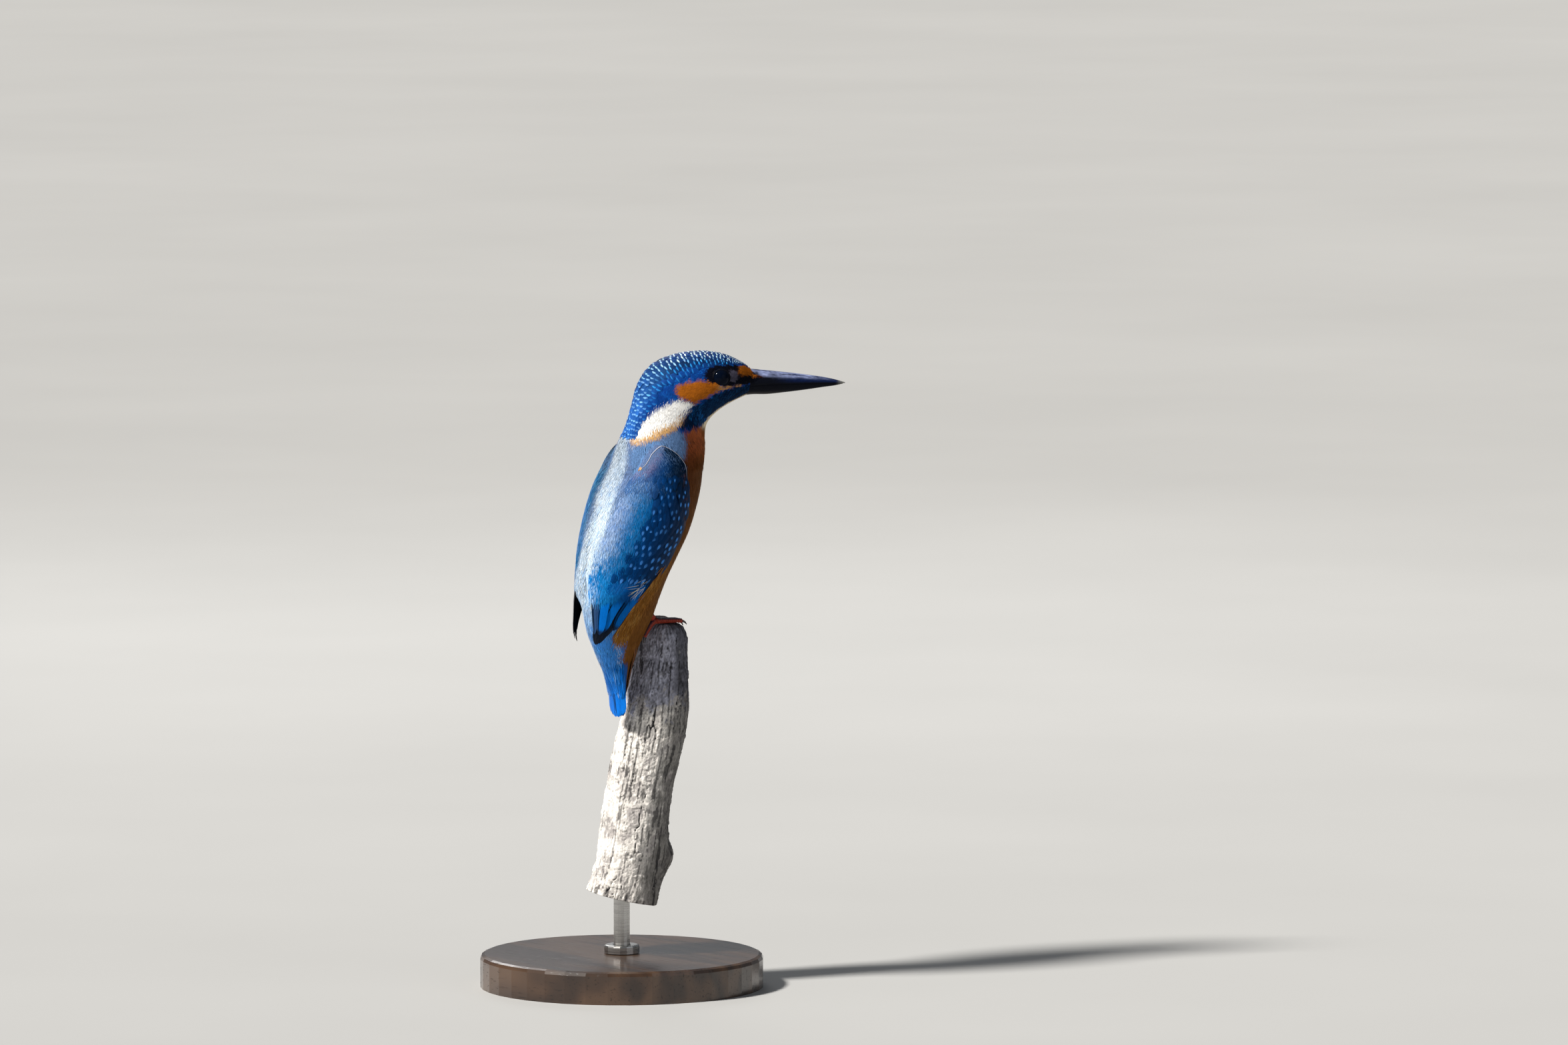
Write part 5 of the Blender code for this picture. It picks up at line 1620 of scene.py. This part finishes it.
def tail_coverts():
    """Azure streaks over the tail's root, and orange feathers under it, as blades of a few sizes."""
    count = 260
    for name, table, low_z, tones, seed in (
        ("uppertail_coverts", TAIL, -25.0, (TAIL_AZURE, TAIL_BLUE), 101),
        ("undertail_feathers", UNDERTAIL, -24.5, (BELLY, RUST), 103),
    ):
        above = table is TAIL
        j = spread(seed, (6, count))
        down, across = even_pairs(count)
        z0, q = -3.0 + (low_z + 8.0) * down**1.3, 0.96 * (2 * across - 1)
        z1 = np.maximum(z0 - 6.0 - j[0], low_z - 1.0)
        paths = tail_blade_paths(table, q, q * 0.95, z0, z1, 6, 0.06 + 0.08 * j[1], above)
        tone = mixed(*tones, smooth(z0 / low_z * 1.4 + 0.35 * j[2])) * (1 + 0.2 * j[3])[:, None]
        if above:
            pale = rises(q, 0.3, 0.5) * (j[5] > -0.3) * smooth((z0 + 26) / 12) + (j[5] > 0.78) * 0.4
            tone = mixed(tone, TAIL_PALE, np.clip(pale, 0, 0.9))
        roots = np.stack([0.91 + 0.08 * np.clip(-z0 / 30, 0, 1), 0.5 + 0.45 * q], -1)
        blades(name, LONG, paths, 0.55 + 0.12 * j[4], roots, shaded_to_root(tone, 0.7, 0.4), 0.42, 0.25, 0.1, 3, 0.5)


def flank_tufts():
    """Long loose feathers of the flank, which curl up over the lower edge of the folded wing."""
    n = 760
    down, off_edge = even_pairs(n)
    j = spread(111, (4, n))
    z = 26.0 - 27.0 * down
    degrees = np.interp(z, (-6, 0, 8, 18, 28, 36), (46, 62, 78, 96, 106, 108)) + 2 + 22 * off_edge
    u, v = section_at_height(z), np.where(np.arange(1, n + 1) % 2 == 0, 1, -1) * np.radians(degrees)

    def lift(uu, vv):
        edge = np.interp(uu, (13.2, 14.75, 16.25, 17.2, 18.3, 19), (108, 100, 78, 64, 50, 40))
        return 1.9 * smooth((edge + 8 - off_spine(vv)) / 10) * falls(uu, 18.3, 1.2)

    def tint(base, u, v, chance):
        return mixed(BELLY * 1.15, FLANK_GOLD, rises(chance, 0.3, 0.6) * 0.4)

    barb_tufts(
        "flank_feathers", WARM, (u, v), length=6.5 + 1.5 * j[0], width=1.2, lean_out=-24,
        depth=0.5, proud=0.3, seed=113, painted_shade=0.35, wild=0.16, splay=0.14, colour=tint, lift=lift,
    )


def wisps():
    """A few long pale filaments that stray from each flank over the wing's lower edge."""
    n = 16
    j = spread(117, (3, n))
    z, t = 17.0 + 3.5 * j[0], 0.72 + 0.12 * j[1]
    u, v = np.where(np.arange(n) % 2 == 0, wing_place(1, z, t), wing_place(-1, z, t))

    def tint(base, u, v, chance):
        return np.broadcast_to(WISP, base.shape)

    barb_tufts(
        "flank_wisps", WARM, (u, v), length=6.5 + 2.0 * j[2], width=0.12, lean_out=-58,
        depth=0.2, proud=0.9, seed=119, painted_shade=0.1, wild=0.4, barbs=2, splay=0.25, colour=tint,
    )


# ---- bill, eyes and feet


NOSTRIL_X, NOSTRIL_Z = 38.2, 90.4
DOME_POWER, FLUTE = 0.92, 0.06  # how full the bill's dome is, and how deep the flutes on its sides


def bill():
    """Both halves: a dome over a nearly flat cutting edge, keeled along its ridge and fluted lightly,
    with the nostril's slit sunk near the base. At the angle a round it a half rises by sin a to the
    dome's power toward its ridge, and lies half its width times cos a across."""
    a = round_angles(40)[None]
    sin, cos = np.sin(a), np.cos(a)
    rise = np.where(sin > 0, np.abs(sin) ** DOME_POWER, 0.10 * sin)
    for name, table, up in (("bill_upper", BILL_UPPER, True), ("bill_lower", BILL_LOWER, False)):
        x = np.linspace(table[0, 0], table[-1, 0], 90)[:, None]
        top, low, half = read_off(table, x)
        mouth, ridge = (low, top) if up else (top, low)
        z = mouth + (ridge - mouth) * rise
        y = half * cos * (1 - FLUTE * (sin > 0) * np.sin(2 * a) ** 2)
        x = np.broadcast_to(x, z.shape)
        tint = np.broadcast_to(BILL_BLACK, (*z.shape, 3))
        if up:
            along = x - NOSTRIL_X
            slit = np.exp(-((along / 1.7) ** 2) - ((z - NOSTRIL_Z + along * 0.10) / 0.42) ** 2)
            y = y * (1 - 0.16 * slit)
            streak = 0.8 + 0.8 * grid_noise(a * 20 + 0 * x, x * 0.3, 126, 15)
            streak = np.maximum(streak + 0.4 * grid_noise(a * 30 + 0 * x, x * 1.4, 188, 17), 0.1)
            # painted reflections: a slate sheen along the top of the upper half, and blue toward its tip
            sheen = rises(rise, 0.42, 0.3) * falls(x, 69, 14)
            sheen = sheen * smooth((grid_noise(a * 14 + 0 * x, x * 0.35, 90, 16) + 1.0) / 0.9)
            tint = mixed(tint, BILL_NOSTRIL, slit)
            tint = mixed(tint, BILL_BLUE_SHEEN, rises(x, 42, 12) * smooth(rise / 0.3))
            tint = mixed(tint, BILL_SHEEN * streak[..., None], sheen)
        else:
            tint = mixed(tint, BILL_JAW, falls(x, 52, 12) * rises(rise, 0.55, 0.4))
        tint = mixed(tint, BILL_TIP, rises(x, 66.5, 3.2))
        points, faces = shells(np.stack([x, y, z], -1)[None])
        coat = {"Coat": coated(tint)}
        make_piece(f"{name}_horn", points, faces, HORN, None, coat, replaced=[name])


def nostril_feathers():
    """Short feathers that carry the orange streak and the black under it over the bill's base and
    taper to the nostril. They lie on the upper half's dome, each running back from its root."""
    n = 240
    reach, place = even_pairs(n)
    j = spread(131, (4, n))
    side = np.where(np.arange(1, n + 1) % 2 == 0, 1, -1)
    s = np.linspace(0, 1, 5)
    x = (35.9 + 3.4 * reach)[:, None] - 1.7 * s
    top, low, half = read_off(BILL_UPPER, x)
    level = np.interp(reach, (0, 1), (0.15, 0.46)) + place * np.interp(reach, (0, 0.35, 1), (0.83, 0.42, 0.08))
    rise = np.broadcast_to(level[:, None], x.shape)
    a = np.arcsin(np.clip(rise, 0, 0.99) ** (1 / DOME_POWER))
    y, z = half * np.cos(a) * (1 - FLUTE * np.sin(2 * a) ** 2), low + (top - low) * rise
    normal = unit(np.stack([0.05 + 0 * x, np.cos(a) / half, np.sin(a) / (top - low)], -1))
    height = (0.17 + 0.05 * j[0])[:, None] * smooth(s * 1.4) - 0.10
    centre = np.stack([x, y, z], -1) + normal * height[..., None]
    flip = np.stack([np.ones(n), side, np.ones(n)], -1)[:, None]
    orange = smooth((level - np.interp(reach, (0, 1), (0.50, 0.44)) + 0.08 * j[1]) / 0.06) * (j[3] > -0.6)
    streak = mixed(EAR * 0.75, NOSTRIL_DARK, rises(reach, 0.3, 0.5))
    tint = shaded_to_root(mixed(LORE_BLACK, streak, orange) * (1 + 0.35 * j[2])[:, None], 0.7, 0.3)
    roots = bake_place(np.full(n, 0.1), side * a[:, 0])
    blades("nostril_feathers", SOFT, laid(centre * flip, normal * flip), 0.17, roots, tint, 0.5, 0.2, 0.06, 3, 0.5)


def eyes(finish):
    """Each eyeball as a smooth ball: rings of equal steps of angle from the pole ahead to the one behind."""
    angle, turn = np.linspace(0.04, math.pi - 0.04, 48)[:, None], round_angles(64)[None]
    sin = np.sin(angle)
    ball = np.stack(np.broadcast_arrays(np.cos(angle), sin * np.cos(turn), sin * np.sin(turn)), -1)
    for word, side in SIDES.items():
        points, faces = shells(EYE_AT * (1, side, 1) + EYE_RADIUS * ball[None])
        make_piece(f"eyeball_{word}", points, faces, finish, replaced=[f"eye_{word}"])


def lids():
    """A thin dark rim of bare skin round each eye: a ring whose section is a small flattened bead, lying
    on the eyeball where it meets the face."""
    hide = hide_finish("lid_skin", 2600.0, 0.5, 0.08)
    a, b = round_angles(48)[:, None], round_angles(8)[:, None]
    seat = math.sqrt(EYE_RADIUS**2 - 3.0**2)
    parts = []
    for side in SIDES.values():
        out = unit(np.array((0.10, 1.0 * side, 0.06)))
        ahead = unit(np.cross(out, (0.0, 0.0, 1.0)))
        spoke = np.cos(a) * ahead + np.sin(a) * np.cross(ahead, out)
        middle = EYE_AT * (1, side, 1) + out * seat + spoke * (3.05 + 0.06 * np.cos(2 * a))
        ring = middle[:, None] + 0.34 * (np.cos(b) * spoke[:, None] + 0.75 * np.sin(b) * out)
        points = ring.reshape(-1, 3)
        parts.append((points, outward(points, [grid_quads(48, 8, True)]), np.array((*LID, 1.0))))
    points, faces, colours = joined(parts)
    make_piece("eyelids", points, faces, hide, None, {"Coat": colours})


def foot_scutes():
    """Overlapping plates over each toe and shank: each plate is a short half sleeve that stands a
    little proud at its far edge."""
    rings = 40
    at = np.minimum(np.arange(1, 37, 3)[:, None] + np.array((0, 2, 4)), rings - 1)
    a = np.radians(np.linspace(-118, 118, 11)) + np.pi / 2
    upward = np.broadcast_to(np.tile(np.sin(a), 2), (*at.shape, 2 * a.size)).reshape(len(at), -1)
    upward = np.concatenate([upward, np.zeros((len(at), 2))], 1).ravel() - 0.1
    parts = []
    for side in SIDES.values():
        for path, radii in limbs(side, rings):
            first, second = square_to(path)
            second = second * np.sign(second[:, 2:] + 1e-6)
            spoke = np.cos(a)[:, None] * first[at][:, :, None] + np.sin(a)[:, None] * second[at][:, :, None]
            stand = radii[at] + np.array((0.0, 0.09, 0.13))
            outer, inner = (path[at][:, :, None] + spoke * r[..., None, None] for r in (stand, radii[at] - 0.15))
            points, faces = shells(np.concatenate([outer, inner[:, :, ::-1]], 2))
            parts.append((points, faces, foot_tint(upward)))
    points, faces, colours = joined(parts)
    make_piece("foot_scutes", points, faces, FOOT_HIDE, None, {"Coat": colours})


# ---- perch, stand and studio


def grid_noise(x, y, columns, seed):
    """Smooth random heights over a grid of cells, the grid closing on itself after 'columns' in x."""
    table = np.random.default_rng(seed).uniform(-1, 1, (400, columns))
    i, j = np.floor(x).astype(int), np.floor(y).astype(int)
    s, t = smooth(x - i), smooth(y - j)
    i0, i1, j0, j1 = i % columns, (i + 1) % columns, j % 400, (j + 1) % 400
    first = table[j0, i0] * (1 - s) + table[j0, i1] * s
    second = table[j1, i0] * (1 - s) + table[j1, i1] * s
    return first * (1 - t) + second * t


SHADED_SIDE = math.radians(-40.0) + 0.25  # direction round the branch that is painted darker, a painted shade on the side turned from the key light
SHADOW_DOWN_TO = 32.0  # the bird's painted shadow, grey violet, covers the wood from the top to about here, and it is cream below


def perch():
    """The dead branch: the model's lumpy tube, drawn finer, with long cracks, plates and frayed fibres
    sunk and raised in its face. Height in the face is fibres + plates + grit + flakes - cracks."""
    depth_down, root = -PERCH[:, 2], PERCH_ROUND[-1, 0]
    top_radii = np.linspace(0.6, root, 26)
    below = np.linspace(4.2, depth_down[-1], 350)
    heights = np.concatenate([np.interp(top_radii, PERCH_ROUND[:, 0], PERCH_ROUND[:, 1]), below])
    x0, y0, radii = spline(depth_down, PERCH[:, [0, 1, 3]], heights).T[..., None]
    side_radii = root + (radii[len(top_radii) :] - root) * rises(below, 3.6, 2.0)[:, None]
    radii = np.concatenate([top_radii[:, None], side_radii])
    theta, h = round_angles(230)[None], heights[:, None]
    turn = theta / (2 * np.pi)
    # the form: three and five soft lumps round it, and the knot
    lumps = 1 + 0.022 * np.sin(3 * theta + h * 0.11) + 0.014 * np.sin(5 * theta - h * 0.23)
    around = np.mod(theta - math.radians(KNOT_AT[1]) + math.pi, 2 * math.pi) - math.pi
    knot = KNOT_HEIGHT * np.exp(-((np.hypot(h + KNOT_AT[0], radii * around) / KNOT_SPREAD) ** 2))
    # the relief in its face
    twist = 0.06 * np.sin(h * 0.05)
    fibres = grid_noise((turn + twist * 0.1) * 90, h * 0.16, 90, 121) * 0.5
    fibres = fibres + grid_noise(turn * 180, h * 0.45, 180, 122) * 0.3
    plates = grid_noise(turn * 22 + 0.6 * np.sin(h * 0.15), h * 0.22, 22, 123)
    grit = grid_noise(turn * 200, h * 2.4, 200, 124)
    crack = grid_noise(turn * 26 + 0.3 * np.sin(h * 0.21), h * 0.035, 26, 125)
    crack = np.abs(crack + 0.3 * grid_noise(turn * 52, h * 0.3, 52, 126))
    crack = (1 - smooth(crack / 0.05)) * smooth(0.35 + grid_noise(turn * 9, h * 0.09, 9, 127) * 1.8)
    flakes = smooth((grid_noise(turn * 34, h * 0.5, 34, 128) - 0.25) / 0.25)
    side_on = rises(h, 1.0, 3.0)
    relief = 0.24 * fibres + 0.14 * plates + 0.14 * grit + 0.24 * flakes - 0.6 * crack * side_on
    r = radii * lumps + knot + (relief - 0.25) * (0.35 + 0.65 * side_on) * smooth(radii / 6)
    x, y = x0 + r * np.cos(theta), y0 + r * np.sin(theta)
    z = 0.35 * relief * (1 - side_on) - h
    z = np.minimum(z, CHAMFER_SLOPE * np.minimum(x - CHAMFER_X, 0) + 0.25 * relief)
    # its lower end is cut square to its last stretch
    foot = PERCH[-1, :3] - PERCH[-2, :3]
    ends = np.clip((h - depth_down[-2]) / (depth_down[-1] - depth_down[-2]), 0, 1)
    slant = ((x - x0) * foot[0] + (y - y0) * foot[1]) / -foot[2]
    z = z + ends * slant
    points, faces = shells(np.stack([x, y, z], -1)[None])
    # its colour: grey or cream in patches, the bird's shadow painted grey violet by the top, and a painted shade on
    # the side turned from the key light
    mottle = grid_noise(turn * 70, h * 0.45, 70, 129) * 0.4 + grid_noise(turn * 170, h * 1.3, 170, 130) * 0.6
    split = grid_noise((turn + slant * 0.002) * 120, h * 0.13, 120, 131)
    pits = smooth((-0.42 - split - 0.35 * mottle) / 0.2)
    tone = mixed(WOOD_GREY, WOOD_CREAM, smooth(0.62 + 0.5 * plates + 0.4 * flakes + 0.5 * mottle))
    painted_shade = smooth((SHADOW_DOWN_TO + 5 * plates + 5 * mottle - h) / 5)
    tone = mixed(tone, WOOD_SHADE * (1 + 1.1 * mottle[..., None]), painted_shade * 0.95)
    turned_away = smooth(0.5 + (np.cos(theta - SHADED_SIDE) - 0.35 + 0.3 * plates + 0.3 * mottle) / 0.5)
    tone = tone * (1.2 - 0.85 * turned_away)[..., None]
    tone = mixed(tone, WOOD_CRACK, np.clip(crack + 0.75 * pits + 0.5 * falls(relief, -0.35, 0.4), 0, 1))
    coat = {"Coat": coated(tone)}
    make_piece("perch_wood", points, faces, bark_finish(), None, coat, replaced=["perch"])


def dress(node, finish):
    """Gives a node of the model that stays as it is its finished material."""
    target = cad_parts[node]
    target.data.materials.clear()
    target.data.materials.append(finish)


def studio():
    """A round pale floor and a soft even sky."""
    n = 96
    a = round_angles(n)
    radii = np.array((0.3, 3.0, 9.0))
    ring = np.stack([np.outer(radii, np.cos(a)), np.outer(radii, np.sin(a)), np.zeros((3, n))], -1)
    mesh = bpy.data.meshes.new("floor")
    faces = [*grid_quads(3, n)[:, ::-1].tolist(), list(range(n))]
    mesh.from_pydata(ring.reshape(-1, 3).tolist(), [], faces)
    floor = bpy.data.objects.new("floor", mesh)
    made, w = finish_material("pale_floor", Roughness=0.9, Specular_IOR_Level=0.1)
    cloud = noise(w, stretched(w), 3.0)
    wired(made, Base_Color=cloud.ramp((0.3, (0.43, 0.43, 0.425)), (0.7, (0.455, 0.455, 0.45))))
    mesh.materials.append(made)
    bpy.context.scene.collection.objects.link(floor)
    world = bpy.data.worlds.new("studio")
    world.use_nodes = True
    sky = world.node_tree.nodes["Background"]
    sky.inputs[0].default_value, sky.inputs[1].default_value = (0.86, 0.92, 1.0, 1.0), SKY
    bpy.context.scene.world = world


def placed(name, data, place, toward):
    """Puts a lamp or camera at a place, facing along 'toward'."""
    made = bpy.data.objects.new(name, data)
    made.location = Vector(place)
    made.rotation_euler = Vector(toward).to_track_quat("-Z", "Y").to_euler()
    bpy.context.scene.collection.objects.link(made)
    return made


def sun_light(name, toward, power, degrees, colour):
    """A far, large soft box: parallel light from 'toward', its edge softened over so many degrees."""
    made = bpy.data.lights.new(name, "SUN")
    made.energy, made.angle, made.color = power, math.radians(degrees), colour
    placed(name, made, (0.0, 0.0, 0.0), -toward)


def soft_light(name, place, target, size, power, colour):
    """A round soft box that faces the target and isn't seen itself."""
    made = bpy.data.lights.new(name, "AREA")
    made.shape, made.size, made.energy, made.color = "DISK", size, power, colour
    placed(name, made, place, target - place).visible_camera = False


SKY = 0.14
AZIMUTH, ELEVATION = math.radians(-40.0), math.radians(6.0)
CAMERA_DISTANCE, LENS = 4.783, 300.0
FRAME_RIGHT, FRAME_UP = 0.04595, 0.03683  # from the bird's origin to the middle of the picture


def camera_and_light():
    """A long lens on the bird's back and right side, with a warm key light from the upper left behind
    the camera, a weak fill from its right and a rim light from behind the bird."""
    right = np.array((math.cos(AZIMUTH), math.sin(AZIMUTH), 0.0))
    level = math.cos(ELEVATION)
    forward = np.array((-right[1] * level, right[0] * level, -math.sin(ELEVATION)))
    up = np.cross(right, forward)
    aim = ORIGIN + right * FRAME_RIGHT + up * FRAME_UP
    data = bpy.data.cameras.new("camera")
    data.lens, data.sensor_width, data.clip_end = LENS, 36.0, 100.0
    bpy.context.scene.camera = placed("camera", data, aim - forward * CAMERA_DISTANCE, forward)
    bird = ORIGIN + np.array((0, 0, 0.03))
    sun_light("key", up * 0.72 - right * 0.62 - forward * 0.42, 5.7, 8.0, (1.0, 0.965, 0.91))
    soft_light("fill", ORIGIN + right * 1.3 - forward * 1.2 + up * 0.5, bird, 1.4, 2.5, (0.90, 0.95, 1.0))
    soft_light("rim", ORIGIN - right * 0.2 + forward * 1.3 + up * 0.9, bird, 0.7, 4.0, (1.0, 1.0, 1.0))
    bpy.context.scene.view_settings.view_transform = "Standard"


def main():
    """The bird from the skin outwards, then bill, lids and feet, the perch, the nodes that keep their
    own shape, and the studio."""
    for build in (
        skin, face_coat, neck_coat, breast_coat, back_coat, crown_coat, wing_coverts, bend_feathers, bend_rim,
        scapulars, flight_feathers, tail_feathers, tail_coverts, flank_tufts, wisps, nostril_feathers, bill, lids,
        foot_scutes, perch,
    ):
        build()
    claw = claw_finish()
    eyes(eye_finish())
    for word in SIDES:
        for toe in ("hind", "inner", "middle", "outer"):
            dress(f"claw_{toe}_{word}", claw)
    dress("stand_base", stand_wood_finish())
    steel = steel_finish()
    for node in ("stand_rod", "stand_collar"):
        dress(node, steel)
    studio()
    camera_and_light()


main()
